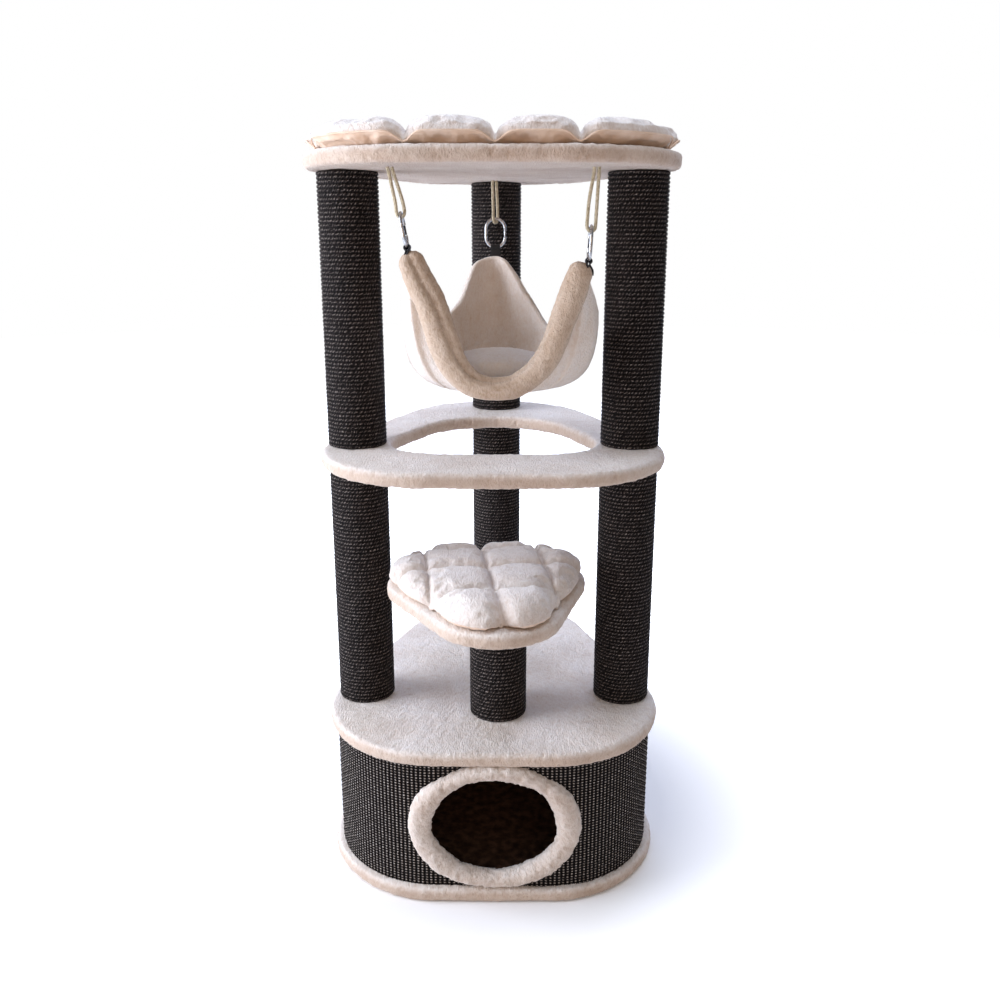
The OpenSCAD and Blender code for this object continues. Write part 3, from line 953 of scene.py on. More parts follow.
@dataclass
class Studio:
    """Camera, lights and a plain pale floor."""

    lens: float = 33.57
    shift_y: float = -0.0176
    position: tuple[float, float, float] = (0.0262, -1.5073, 0.9897)
    pitch: float = 14.962
    yaw: float = 0.646

    def build(self) -> None:
        """Make all of it."""
        self.camera()
        self.floor()
        self.light("window_left", (-3.0, -0.5, 1.4), (0, 0, 0.6), 2.4, 165.0, "#EAF0FF")
        self.light("window_rear", (0.3, 3.4, 2.2), (0, 0, 0.6), 3.6, 124.0, "#C8D7FF")
        self.light("overhead", (0.0, 0.2, 3.6), (0, 0, 0.5), 3.0, 74.0, "#E4ECFF")
        self.light("front_fill", (0.3, -3.4, 0.8), (0, 0, 0.6), 2.4, 19.0, "#FFD2AA")
        self.world()

    def camera(self) -> None:
        """The camera, a little above the tree's middle and looking slightly down."""
        data = bpy.data.cameras.new("camera")
        data.lens = self.lens
        data.sensor_width = 36
        data.shift_y = self.shift_y
        obj = bpy.data.objects.new("camera", data)
        obj.location = self.position
        obj.rotation_euler = (math.radians(90 - self.pitch), 0, math.radians(self.yaw))
        bpy.context.scene.collection.objects.link(obj)
        bpy.context.scene.camera = obj

    def light(
        self, name: str, at: Sequence[float], towards: Sequence[float], size: float, power: float, colour: str
    ) -> None:
        """A square soft light.

        Args:
            name: its name.
            at: where it stands, in metres.
            towards: the point it faces.
            size: its side.
            power: in watts.
            colour: sRGB hex.
        """
        data = bpy.data.lights.new(name, "AREA")
        data.size = size
        data.energy = power
        data.color = linear(colour)[:3]
        obj = bpy.data.objects.new(name, data)
        obj.location = at
        obj.rotation_euler = (Vector(towards) - Vector(at)).to_track_quat("-Z", "Y").to_euler()
        obj.visible_camera = False
        bpy.context.scene.collection.objects.link(obj)

    def floor(self) -> None:
        """A wide pale floor with a soft matt finish that glows for the camera only, faintly near the tree and
        fully from 0.66 m out: a painted glow that whitens the floor.
        """
        a = np.linspace(0, 2 * np.pi, 96, endpoint=False)
        rim = np.stack([9000 * np.cos(a), 9000 * np.sin(a), np.full(96, -0.2)], -1)
        verts = np.concatenate([[[0, 0, -0.2]], rim])
        j = np.arange(96)
        obj = make_object("studio_floor", verts, np.stack([np.zeros(96, int), 1 + j, 1 + (j + 1) % 96], -1))
        finish = Finish("pale_floor", "plush")
        finish.link("Base Color", finish.ramp(finish.noise(400, 2), (0.3, "#F4F4F4"), (0.7, "#F6F6F6")))
        finish.set(Roughness=0.9, Specular_IOR_Level=0.1, Emission_Color=linear("#FFFFFF"))
        where = add_node(finish.tree, "ShaderNodeTexCoord").outputs["Object"]
        reach = add_node(finish.tree, "ShaderNodeVectorMath", {0: where}, operation="LENGTH").outputs["Value"]
        # Painted glow: emission seen only by the camera, rising from 0.05 at 0.3 m to 0.9 at 0.66 m from the
        # tree's middle.
        spread = {0: reach, 1: 0.3, 2: 0.66, 3: 0.05, 4: 0.9}
        glow = add_node(finish.tree, "ShaderNodeMapRange", spread).outputs[0]
        seen = add_node(finish.tree, "ShaderNodeLightPath").outputs["Is Camera Ray"]
        finish.link("Emission Strength", finish.maths("MULTIPLY", glow, seen))
        obj.data.materials.append(finish.material)

    def world(self) -> None:
        """White surroundings, dimmer as a light than they look."""
        world = bpy.data.worlds.new("white_studio")
        world.use_nodes = True
        bpy.context.scene.world = world
        tree = world.node_tree
        path = add_node(tree, "ShaderNodeLightPath")
        seen = add_node(tree, "ShaderNodeMapRange", {0: path.outputs["Is Camera Ray"], 3: 0.21, 4: 1.0})
        background = tree.nodes["Background"]
        background.inputs["Color"].default_value = (1, 1, 1, 1)
        tree.links.new(seen.outputs[0], background.inputs["Strength"])
        bpy.context.scene.view_settings.view_transform = "Standard"


@dataclass
class HangingCords:
    """Three doubled twine loops that carry the hammock, and the knots above the top board."""

    palette: Palette
    diameter: float = 5.0
    routes: dict[str, list[tuple[float, float, float]]] = field(default_factory=dict)

    def __post_init__(self) -> None:
        """The routes, in mm: down one strand, round the hook's bar and up the other."""
        self.routes = {
            "left": [
                (-137, -215, 1074), (-135, -215, 1066), (-133, -215, 1056), (-131, -215, 1046),
                (-129, -215, 1036), (-127.5, -215, 1028), (-127, -215, 1022), (-126.5, -215, 1017.5),
                (-125.5, -215, 1013.5), (-123.5, -215, 1011.2), (-121, -215, 1010.5),
                (-118.5, -215, 1011.2), (-116.5, -215, 1013.5), (-115.7, -215, 1018),
                (-116.5, -215, 1024), (-118.5, -215, 1033), (-121.5, -215, 1043), (-125, -215, 1054),
                (-128.5, -215, 1064), (-131, -215, 1074)],
            "right": [
                (136, -215, 1074), (135, -215, 1064), (133, -215, 1052), (131, -215, 1040),
                (129.5, -215, 1028), (128.5, -215, 1016), (128, -215, 1007), (127.7, -215, 1000),
                (128.6, -215, 995.8), (131, -215, 993), (133.6, -215, 992.2), (136.2, -215, 993),
                (138.6, -215, 995.8), (139.2, -215, 1001), (139.5, -215, 1008), (140, -215, 1020),
                (140.5, -215, 1032), (141, -215, 1044), (141.5, -215, 1056), (142, -215, 1066),
                (142, -215, 1074)],
            "rear": [
                (-4, 93.6, 1072.8), (-4, 92.7, 1064), (-3.5, 92, 1053), (-3.5, 91.3, 1042),
                (-3, 90.6, 1031), (-3, 90.1, 1021), (-3, 90.1, 1014), (-2, 91.6, 1009.6),
                (-1.2, 93.4, 1007.4), (0.6, 96, 1006.6), (2.4, 98.6, 1007.4), (3.2, 100.4, 1009.6),
                (4.2, 101.9, 1014), (4.2, 101.9, 1021), (4, 101.4, 1031), (3.5, 100.7, 1042),
                (3, 100, 1053), (2.5, 99.3, 1064), (2, 98.4, 1072.8)],
        }

    def build(self) -> None:
        """Lay the three cords, then tie the knots."""
        for side, route in self.routes.items():
            self.cord(side, route)
        self.knots()

    def twisted(self, path: Array, sides: int, start: Sequence[float], lay: float = 11.0) -> Array:
        """A three-strand cord: radius = R (0.84 + 0.16 |cos(1.5 (angle - turn))|), one turn per lay length.

        Args:
            path: the centreline, n by 3.
            sides: points round it.
            start: a direction across the path.
            lay: the length of one turn of the strands.

        Returns:
            n by sides by 3.
        """
        length = np.concatenate([[0], np.cumsum(np.linalg.norm(np.diff(path, axis=0), axis=1))])
        a = np.linspace(0, 2 * np.pi, sides, endpoint=False)[None]
        turn = 2 * np.pi * length[:, None] / lay
        radius = self.diameter / 2 * (0.84 + 0.16 * np.abs(np.cos(1.5 * (a - turn))))
        return tube_grid(path, radius, sides, start)

    def cord(self, side: str, route: list[tuple[float, float, float]]) -> None:
        """One loop of cord, its ends closed.

        Args:
            side: left, right or rear.
            route: the points it passes through.
        """
        path = smooth_path(route, 120)
        across = (0.78, -0.62, 0.0) if side == "rear" else (0.0, 1.0, 0.0)
        grid = self.twisted(path, 18, across)
        first, last = (np.broadcast_to(path[k], (1, 18, 3)) for k in (0, -1))
        grid = np.concatenate([first, grid, last])
        line = smooth_path(route, 60)
        obj = grid_object(f"twine_{side}", grid)
        outward(obj)
        place(obj, "rear_cord" if side == "rear" else "front_cords", self.palette.twine, f"cord_{side}")

    def knots(self) -> None:
        """A trefoil knot above each hole: r = 4.4 + 2.2 cos(3t/2), z = 2.8 sin(3t/2), t over two turns."""
        t = np.linspace(0, 4 * np.pi, 90, endpoint=False)
        r = 4.4 + 2.2 * np.cos(1.5 * t)
        shape = np.stack([r * np.cos(t), r * np.sin(t), 2.8 * np.sin(1.5 * t)], -1)
        for name, (x, y) in {"left": (-134, -215), "right": (139, -215), "rear": (-1, 96)}.items():
            path = shape + np.array([x, y, 1085.5])
            grid = tube_grid(path, 2.4, 12, (0, 0, 1), closed=True)
            obj = grid_object(f"knot_{name}", grid, Ends.JOINED)
            outward(obj)
            place(obj, "tower", self.palette.twine, *(["cord_knots"] if name == "left" else []))


@dataclass
class SnapHook:
    """A wire snap hook: an open oval of round bar, and a spring gate across its open side."""

    palette: Palette
    side: str
    at: tuple[float, float, float]
    lean: float
    turn: float
    gate_finish: Finish
    length: float = 50.0
    width: float = 36.0
    bar: float = 4.6

    def set_in_place(self, grid: Array) -> Array:
        """Turn points of the hook's own frame about Z, lean them about Y and move them to their place.

        Args:
            grid: any shape by 3.

        Returns:
            An array like grid.
        """
        a, b = math.radians(self.turn), math.radians(self.lean)
        x = grid[..., 0] * math.cos(a) - grid[..., 1] * math.sin(a)
        y = grid[..., 0] * math.sin(a) + grid[..., 1] * math.cos(a)
        z = grid[..., 2]
        leant = [x * math.cos(b) + z * math.sin(b), y, z * math.cos(b) - x * math.sin(b)]
        return np.stack(leant, -1) + np.array(self.at)

    def rod(self, name: str, path: Array, radius: Array, body: str, finish: Finish, *replaced: str) -> None:
        """A closed round rod along a path, its ends drawn to a point.

        Args:
            name: the piece's name.
            path: its centreline in the hook's own frame.
            radius: one per path point.
            body: the CAD body it rides on.
            finish: its material.
            *replaced: CAD nodes it stands for.
        """
        grid = tube_grid(path, radius, 20, (0, 1, 0))
        grid[0], grid[-1] = path[0], path[-1]
        obj = grid_object(name, self.set_in_place(grid))
        outward(obj)
        place(obj, body, finish, *replaced)

    def build(self) -> None:
        """The oval: two half circles of radius w, a straight bar on one side and the gate on the other."""
        r = self.bar / 2
        w = self.width / 2 - r
        h = self.length / 2 - w - r
        t = np.radians(np.linspace(0, 180, 70))
        upper = np.stack([w * np.cos(t), 0 * t, h + w * np.sin(t)], -1)
        lower = np.stack([-w * np.cos(t), 0 * t, -h - w * np.sin(t)], -1)
        nose = np.array([[w, 0, h - 0.2], [w, 0, h - 0.1]])
        foot = np.array([[w, 0, -h + 0.1], [w, 0, -h + 0.2]])
        path = np.concatenate([nose, upper, lower, foot])
        radius = np.full(len(path), r)
        radius[1] = radius[-2] = r * 0.98
        self.rod(f"snap_hook_{self.side}", path, radius, "hammock", self.palette.zinc, f"hook_{self.side}")
        rows = 40
        s = np.linspace(0, 1, rows)
        z = (-h + r - 1.6) + s * (2 * h - r + 1.3)
        thin = r - 0.45
        ears = 0.14 * np.exp(-(((s - 0.08) / 0.07) ** 2)), 0.1 * np.exp(-(((s - 0.93) / 0.06) ** 2))
        swell = thin * (0.86 + ears[0] + ears[1])
        swell *= np.sqrt(np.clip(1 - (1 - np.clip(np.minimum(s, 1 - s) / 0.04, 0, 1)) ** 2, 0.0004, 1))
        self.rod(f"spring_gate_{self.side}", np.stack([0 * s + w, 0 * s, z], -1), swell, f"gate_{self.side}",
                 self.gate_finish, f"gate_{self.side}")


@dataclass
class CaveBox:
    """The cave: two plush slabs, a woven sisal skin and the plush roll round its mouth."""

    palette: Palette
    skin_out: float = 11.0
    skin_in: float = 14.9
    ribs: int = 254
    mouth: tuple[float, float] = (4.0, 128.5)
    cut: tuple[float, float] = (103.0, 86.0)

    def build(self) -> None:
        """Make the slabs, the skin, the roll and the dark panel of painted shade on the cave's floor."""
        plush = self.palette.top_plush
        place(plush_slab("base_slab_plush", PLATFORM, 0.0, 0.0, 11), "tower", plush, "base_cover")
        roof = plush_slab("roof_slab_plush", PLATFORM, BASE_TOP - SLAB, 0.0, 23, 1.2)
        place(roof, "tower", plush, "roof_cover")
        self.skin()
        self.roll()
        self.shade_floor_panel()

    def shade_floor_panel(self) -> None:
        """A dark panel on the cave's floor that paints the shade inside the cave: the outline 22 mm in, drawn
        to its middle, its edge rounded.
        """
        line, normal = PLATFORM.line(240)
        inset = np.array([23.5, 22.4, 22.0, 22.0, 22.4, 23.5])
        height = np.array([21.0, 21.0, 22.0, 24.6, 25.6, 26.0])
        edge = line[None] - normal[None] * inset[:, None, None]
        shares = np.linspace(0, 1, 12)[:-1][:, None, None]
        plan = np.concatenate([edge[0][None] * shares, edge, edge[-1][None] * shares[::-1]])
        z = np.concatenate([np.full(11, 21.0), height, np.full(11, 26.0)])
        points = raised(plan, z)
        obj = grid_object("cave_floor_shade_panel", points)
        outward(obj)
        place(obj, "tower", self.palette.hardboard)

    def skin(self) -> None:
        """The woven skin: out = 0.95 |sin| of the rib phase, plus and minus 0.4 on alternate rows and ribs.

        Cells inside the mouth's oval are left out of both walls, and each edge of the hole is bridged.
        """
        cols = self.ribs * 4
        rows = 47
        line, normal = PLATFORM.line(cols)
        z = np.linspace(SLAB - 1.5, BASE_TOP - SLAB + 1.5, rows)
        phase = np.arange(cols) / 4
        bump = 0.95 * np.abs(np.sin(np.pi * phase))
        odd = (np.arange(rows)[:, None] + np.floor(phase)[None].astype(int)) % 2
        weave = 0.4 * np.where(odd, 1.0, -1.0) * np.abs(np.sin(np.pi * phase))
        outset = bump[None] + weave - self.skin_out - 0.8
        outer = raised(line[None] + normal[None] * outset[..., None], z)
        inner = raised(np.broadcast_to(line - normal * self.skin_in, (rows, cols, 2)), z)
        verts = np.concatenate([outer.reshape(-1, 3), inner.reshape(-1, 3)])
        shift = rows * cols
        mid = (outer[:-1] + np.roll(outer, -1, 1)[1:]) / 2
        across = (mid[..., 0] - self.mouth[0]) / self.cut[0]
        inside = across**2 + ((mid[..., 2] - self.mouth[1]) / self.cut[1]) ** 2 < 1
        hole = inside & (mid[..., 1] < 0)
        cell = quads(rows, cols, False, True).reshape(rows - 1, cols, 4)
        keep = ~hole
        faces = [cell[keep], cell[keep][:, ::-1] + shift]
        j = np.arange(cols)
        k = (j + 1) % cols
        faces.append(np.stack([k, j, j + shift, k + shift], -1))
        last = (rows - 1) * cols
        faces.append(np.stack([last + j, last + k, last + k + shift, last + j + shift], -1))
        left = keep & np.roll(hole, -1, 1)
        right = keep & np.roll(hole, 1, 1)
        below = keep.copy()
        below[-1] = False
        below[:-1] &= hole[1:]
        above = keep.copy()
        above[0] = False
        above[1:] &= hole[:-1]
        for mask, (a, b) in ((left, (1, 2)), (right, (3, 0)), (below, (2, 3)), (above, (0, 1))):
            edge = cell[mask][:, [a, b]]
            faces.append(np.stack([edge[:, 1], edge[:, 0], edge[:, 0] + shift, edge[:, 1] + shift], -1))
        all_faces = np.concatenate(faces)
        obj = make_object("woven_sisal_skin", verts, all_faces)
        col = all_faces % cols
        row = (all_faces % shift) // cols
        wrapped = (col.max(1) - col.min(1)) > cols / 2
        u = np.where(wrapped[:, None] & (col < cols / 2), col + cols, col) / 4
        set_uv(obj, np.stack([u, row * 1.0], -1))
        place(obj, "tower", self.palette.carpet, "cave_carpet")

    def roll(self) -> None:
        """The roll: an oval path whose round section is 18.5 mm each way at the sides and 11.5 above."""
        n, m = 300, 44
        a = np.linspace(0, 2 * np.pi, n, endpoint=False)
        b = np.linspace(0, 2 * np.pi, m, endpoint=False)
        wide = 11.5 + 7.0 * np.cos(a) ** 2 + 2.5 * (np.sin(a) < 0) * np.sin(a) ** 2
        centre = np.stack([112.5 * np.cos(a), np.zeros(n), 91.3 * np.sin(a) - 1.0 * (np.sin(a) < 0)], -1)
        out = np.stack([np.cos(a) * 91.3, np.zeros(n), np.sin(a) * 112.5], -1)
        out /= np.linalg.norm(out, axis=1, keepdims=True)
        deep = 15.0
        ring = (wide[:, None, None] * np.cos(b)[None, :, None] * out[:, None]
                - deep * np.sin(b)[None, :, None] * np.array([0, 1.0, 0]))
        bulge = 1 + 0.05 * np.sin(5 * a + 0.6)[:, None, None]
        grid = centre[:, None] + ring * bulge + np.array([self.mouth[0], -284.0, self.mouth[1]])
        obj = grid_object("mouth_roll", grid, Ends.JOINED)
        outward(obj)
        fluff(obj, 41, 2.0, 0.3)
        place(obj, "tower", self.palette.top_plush, "mouth_trim")


@dataclass
class SisalPost:
    """A post wound with rope: stacked round turns whose section is a half circle."""

    palette: Palette
    name: str
    centre: tuple[float, float]
    low: float
    length: float
    radius: float = 45.0
    turn: float = 6.0
    steps: int = 6
    core: float = 39.05
    strands: float = 51.4

    def build(self) -> None:
        """Radius at share t of a turn is R - d/2 + d/2 sqrt(1 - (2t - 1)^2), softened by small noise."""
        turns = round(self.length / self.turn)
        rows, cols = turns * self.steps + 1, 72
        share = np.arange(rows) / self.steps
        t = share % 1
        round_part = np.sqrt(np.clip(1 - (2 * t - 1) ** 2, 0, 1))
        r = self.radius - 3.0 + 3.0 * (0.25 + 0.75 * round_part)
        a = np.linspace(0, 2 * np.pi, cols, endpoint=False)
        z = self.low + share / turns * self.length
        grid = np.stack([self.centre[0] + r[:, None] * np.cos(a), self.centre[1] + r[:, None] * np.sin(a),
                         np.broadcast_to(z[:, None], (rows, cols))], -1)
        out = np.stack([np.cos(a), np.sin(a), np.zeros(cols)], -1)[None]
        grid = grid + out * (lattice_noise(grid, 5.0, 61) * 0.35 - 0.35)[..., None]
        core = grid[[0, -1]].copy()
        for k in (0, 1):
            core[k, :, 0] = self.centre[0] + self.core * np.cos(a)
            core[k, :, 1] = self.centre[1] + self.core * np.sin(a)
        full = np.concatenate([core[:1], grid, core[1:]])
        obj = grid_object(self.name, full, Ends.JOINED)
        n = rows + 2
        row, col = np.meshgrid(np.arange(n), np.arange(cols), indexing="ij")
        turn_of = np.maximum(row - 1, 0) // self.steps
        v0 = (np.maximum(row - 1, 0) % self.steps) / self.steps
        v1 = v0 + 1 / self.steps
        u0 = (turn_of + col / cols) * self.strands
        u1 = (turn_of + (col + 1) / cols) * self.strands
        corners = ((u0, v0), (u1, v0), (u1, v1), (u0, v1))
        uv = np.stack([np.stack(corner, -1) for corner in corners], 2)
        set_uv(obj, uv.reshape(-1, 2))
        place(obj, "tower", self.palette.rope, self.name.replace("sisal_", ""))


@dataclass
class RingPlatform:
    """The middle platform: a plush ring round a large egg-shaped hole."""

    palette: Palette
    inset: float = 5.0

    def build(self) -> None:
        """Rows run round the section: outer rim, over, inner rim and under, blended between the two edges."""
        cols = 560
        line, normal = PLATFORM.line(cols)
        middle = np.array([0.0, -25.0])
        outer = line - normal * self.inset
        angles = np.arctan2(outer[:, 1] - middle[1], outer[:, 0] - middle[0])
        inner = HoleShape().edge(angles)
        inward = middle - inner
        inward /= np.linalg.norm(inward, axis=1, keepdims=True)
        a = np.radians(np.linspace(-90, 90, 15))
        r = SLAB / 2
        inset = r * (1 - np.cos(a) ** RIM_ROUND)
        height = r + r * np.sign(np.sin(a)) * np.abs(np.sin(a)) ** RIM_BULGE
        rim = outer[None] - normal[None] * inset[:, None, None]
        lip = inner[None] - inward[None] * inset[::-1][:, None, None]
        share = np.linspace(0, 1, 32)[1:-1][:, None, None]
        over = rim[-1][None] * (1 - share) + lip[0][None] * share
        under = lip[-1][None] * (1 - share) + rim[0][None] * share
        plan = np.concatenate([rim, over, lip, under])
        z = np.concatenate([height, np.full(30, SLAB), height[::-1], np.zeros(30)])
        points = raised(plan, RING_Z + z)
        obj = grid_object("ring_plush", points, Ends.JOINED)
        outward(obj)
        fluff(obj, 71, 1.0, 0.62)
        place(obj, "tower", self.palette.top_plush, "ring_cover")


@dataclass(frozen=True)
class HoleShape:
    """The ring's hole: the hull of two circles at the front and one at the back."""

    front: tuple[float, float, float] = (76.0, -79.0, 84.0)
    rear: tuple[float, float, float] = (0.0, -2.0, 125.0)

    def edge(self, angles: Array) -> Array:
        """Where rays from (0, -25) cross the hole's edge: a dense polygon, eased over 15 degrees each way.

        Args:
            angles: directions, in radians.

        Returns:
            One plan point per direction.
        """
        fx, fy, fr = self.front
        _, ry, rr = self.rear
        a = math.atan2(fx, ry - fy) + math.asin((fr - rr) / math.hypot(fx, ry - fy))
        runs = (
            (fx, fy, fr, -math.pi / 2, a), (0, ry, rr, a, math.pi - a),
            (-fx, fy, fr, math.pi - a, 1.5 * math.pi))
        arcs = [(x, y, r, np.linspace(start, stop, 120)) for x, y, r, start, stop in runs]
        p = np.concatenate([np.stack([x + r * np.cos(t), y + r * np.sin(t)], -1) for x, y, r, t in arcs])
        p = np.concatenate([p, p[:1]])
        step = np.concatenate([[0], np.cumsum(np.linalg.norm(np.diff(p, axis=0), axis=1) + 1e-9)])
        want = np.linspace(0, step[-1], 2400, endpoint=False)
        p = np.stack([np.interp(want, step, p[:, k]) for k in (0, 1)], -1)
        bearing = np.unwrap(np.arctan2(p[:, 1] + 25, p[:, 0]))
        reach = np.hypot(p[:, 0], p[:, 1] + 25)
        turns = np.concatenate([bearing - 2 * np.pi, bearing, bearing + 2 * np.pi])
        bearings = np.linspace(-np.pi, np.pi, 720, endpoint=False)
        r = np.interp(bearings, turns, np.tile(reach, 3))
        window = np.hanning(61) / np.hanning(61).sum()
        r = np.convolve(np.concatenate([r[-30:], r, r[:30]]), window, "valid")
        r = np.interp(angles, bearings, r, period=2 * np.pi)
        return np.stack([r * np.cos(angles), r * np.sin(angles) - 25], -1)


@dataclass
class QuiltedCushion:
    """A quilted plush cushion: pillows between sewn seams, pinched where a seam meets the edge.

    Heights are above the board it lies on. The edge seam stands at edge_z on a pillow and at pinch_z at a
    seam.
    """

    palette: Palette
    name: str
    egg: Egg
    inset: float
    floor_z: float
    crown: float
    seam: float
    edge_z: float
    pinch_z: float
    pinch_in: float
    columns_at: tuple[float, ...]
    rows_at: tuple[float, ...]
    round_in: float
    seed: int
    notch: float = 0.0
    puff: float = 4.0
    flatness: float = 2.8

    def line_share(self, value: Array, seams: tuple[float, ...], reach: float) -> Array:
        """0 on a seam and 1 in the middle of a pillow, along one direction: (1 - |2t - 1|^p)^0.55.

        Args:
            value: the coordinate across the seams.
            seams: where they lie.
            reach: half of a pillow that has a seam on one side only.

        Returns:
            An array like value.
        """
        marks = np.array([-1e3, *seams, 1e3])
        i = np.clip(np.searchsorted(marks, value) - 1, 0, len(marks) - 2)
        low, high = marks[i], marks[i + 1]
        both = (low > -900) & (high < 900)
        near = np.minimum(np.abs(value - low), np.abs(value - high))
        t = np.where(both, (value - low) / np.maximum(high - low, 1), np.clip(near / reach, 0, 1) / 2)
        return np.clip(1 - np.abs(2 * t - 1) ** self.flatness, 0, 1) ** 0.55

    def seam_gap(self, xy: Array) -> Array:
        """Distance to the nearest seam line.

        Args:
            xy: plan points.

        Returns:
            One distance per point.
        """
        dx = np.min([np.abs(xy[..., 0] - c) for c in self.columns_at], axis=0)
        dy = np.min([np.abs(xy[..., 1] - c) for c in self.rows_at], axis=0)
        return np.minimum(dx, dy)

    def pinch(self, xy: Array) -> Array:
        """1 where a seam crosses, falling off over 13 mm as a bell."""
        return np.exp(-((self.seam_gap(xy) / PINCH_WIDE) ** 2))

    def edge_height(self, xy: Array) -> Array:
        """The edge seam's height beside a plan point."""
        return self.edge_z + (self.pinch_z - self.edge_z) * self.pinch(xy)

    def edge_line(self, count: int) -> Array:
        """The edge seam: the outline drawn in at each pinch and at the narrow end's notch.

        Args:
            count: how many points.

        Returns:
            count by 3.
        """
        line, normal = self.egg.line(count)
        flat = line - normal * self.inset
        p = self.pinch(flat)
        tip = np.clip((flat[:, 1] / self.egg.half_d - 0.75) / 0.2, 0, 1) * np.exp(-((flat[:, 0] / 16.0) ** 2))
        flat = flat - normal * (self.pinch_in * p + self.notch * tip)[:, None]
        z = self.edge_z + (self.pinch_z - self.edge_z) * p
        return np.concatenate([flat, z[:, None]], -1)

    def shape(self) -> Array:
        """Rows from under the middle, out to the edge seam and back over the top to the middle.

        Top height = edge + (pillow - edge) sqrt(1 - (1 - d/R)^2), with pillow = seam + (crown - seam)
        a b for the shares a and b across the two seam directions, and d the distance from the edge.

        Returns:
            Rows by columns by 3.
        """
        cols, top_rows, low_rows = 420, 62, 14
        edge = self.edge_line(cols)
        share = np.linspace(0, 1, top_rows) ** 0.9
        top = edge[None, :, :2] * share[::-1][:, None, None]
        low = edge[None, :, :2] * (np.linspace(0, 1, low_rows)[:-1])[:, None, None]
        d = np.linalg.norm(edge[None, :, :2] - top, axis=-1)
        a = self.line_share(top[..., 0], self.columns_at, 42.0)
        b = self.line_share(top[..., 1], self.rows_at, 42.0)
        pillow = self.seam + (self.crown - self.seam) * a * b
        rise = np.sqrt(np.clip(1 - (1 - np.clip(d / self.round_in, 0, 1)) ** 2, 0, 1))
        z_top = edge[None, :, 2] + (pillow - edge[None, :, 2]) * rise
        d_low = np.linalg.norm(edge[None, :, :2] - low, axis=-1)
        z_low = edge[None, :, 2] * np.clip(1 - d_low / 16.0, 0, 1) ** 1.6 + 0.4
        under, over = (np.concatenate([xy, z[..., None]], -1) for xy, z in ((low, z_low), (top, z_top)))
        return np.concatenate([under, over])

    def build(
        self, body: str, replaced: str, finish: Finish, place_at: Callable[[Array], Array], fill: float
    ) -> Thing:
        """Shape it, swell it between its seams, fluff it and put it in its place.

        Args:
            body: the CAD body it rides on.
            replaced: the CAD solid it stands for.
            finish: its material.
            place_at: moves plan points into the row frame.
            fill: how full it is, 0 to 1; not used.

        Returns:
            The cushion.
        """
        obj = grid_object(self.name, self.shape())
        outward(obj)
        remesh = obj.modifiers.new("even", "REMESH")
        remesh.mode = "VOXEL"
        remesh.voxel_size = CLOTH_VOXEL * MM
        bake_modifiers(obj)
        self.swell(obj)
        finer = obj.modifiers.new("finer", "SUBSURF")
        finer.levels = finer.render_levels = 1
        bake_modifiers(obj)
        p = coordinates(obj)
        gap = self.seam_gap(p[:, :2])
        upper = p[:, 2] > self.edge_height(p[:, :2]) + 2.0
        p[:, 2] -= CHANNEL_DEEP * np.exp(-((gap / CHANNEL_WIDE) ** 2)) * upper
        set_coordinates(obj, p)
        fluff(obj, self.seed, 0.55, 0.35)
        p = coordinates(obj)
        centre = face_centres(obj)
        below = centre[:, 2] < self.edge_height(centre[:, :2])
        p[:, 2] = np.maximum(p[:, 2], 0.35) + self.floor_z
        p[:, :2] = place_at(p[:, :2])
        set_coordinates(obj, p)
        place(obj, body, finish, replaced)
        obj.data.materials.append(self.palette.smooth.material)
        obj.data.polygons.foreach_set("material_index", below.astype(np.int32))
        return obj

    def swell(self, obj: Thing) -> None:
        """Cloth under pressure, held at its seams, its edge and its underside, so it wrinkles beside them.

        Args:
            obj: the remeshed cushion, still in its own frame.
        """
        p = coordinates(obj)
        gap = self.seam_gap(p[:, :2])
        edge = self.egg.depth(p[:, :2]) - self.inset
        held = (gap < 3.2) | (edge < self.pinch_in * self.pinch(p[:, :2]) + 4.0) | (p[:, 2] < 2.5)
        group = obj.vertex_groups.new(name="sewn")
        group.add(np.flatnonzero(held).tolist(), 1.0, "REPLACE")
        cloth = obj.modifiers.new("swell", "CLOTH")
        s = cloth.settings
        s.quality = 6
        s.mass = 0.25
        s.tension_stiffness = s.compression_stiffness = 12
        s.shear_stiffness = 6
        s.bending_stiffness = 0.4
        s.use_pressure = True
        s.uniform_pressure_force = 3.0
        s.shrink_min = -0.07
        s.vertex_group_mass = "sewn"
        s.effector_weights.gravity = 0
        scene = bpy.context.scene
        for frame in range(1, CLOTH_FRAMES + 1):
            scene.frame_set(frame)
        moved = coordinates(obj.evaluated_get(bpy.context.evaluated_depsgraph_get()))
        scene.frame_set(1)
        obj.modifiers.remove(cloth)
        obj.vertex_groups.clear()
        step = moved - p
        size = np.maximum(np.linalg.norm(step, axis=1, keepdims=True), 1e-9)
        set_coordinates(obj, p + step * np.minimum(1, self.puff / size))

    def piping(self, name: str, body: str, finish: Finish, place_at: Callable[[Array], Array]) -> Thing:
        """The sewn edge: a thin closed tube along the edge seam.

        Args:
            name: the piece's name.
            body: the CAD body it rides on.
            finish: its material.
            place_at: moves plan points into the row frame.

        Returns:
            The piece.
        """
        path = self.edge_line(420)
        path[:, :2] = place_at(path[:, :2])
        path[:, 2] += self.floor_z
        grid = tube_grid(path, 1.3, 8, (0, 0, 1), closed=True)
        obj = grid_object(name, grid, Ends.JOINED)
        outward(obj)
        return place(obj, body, finish)


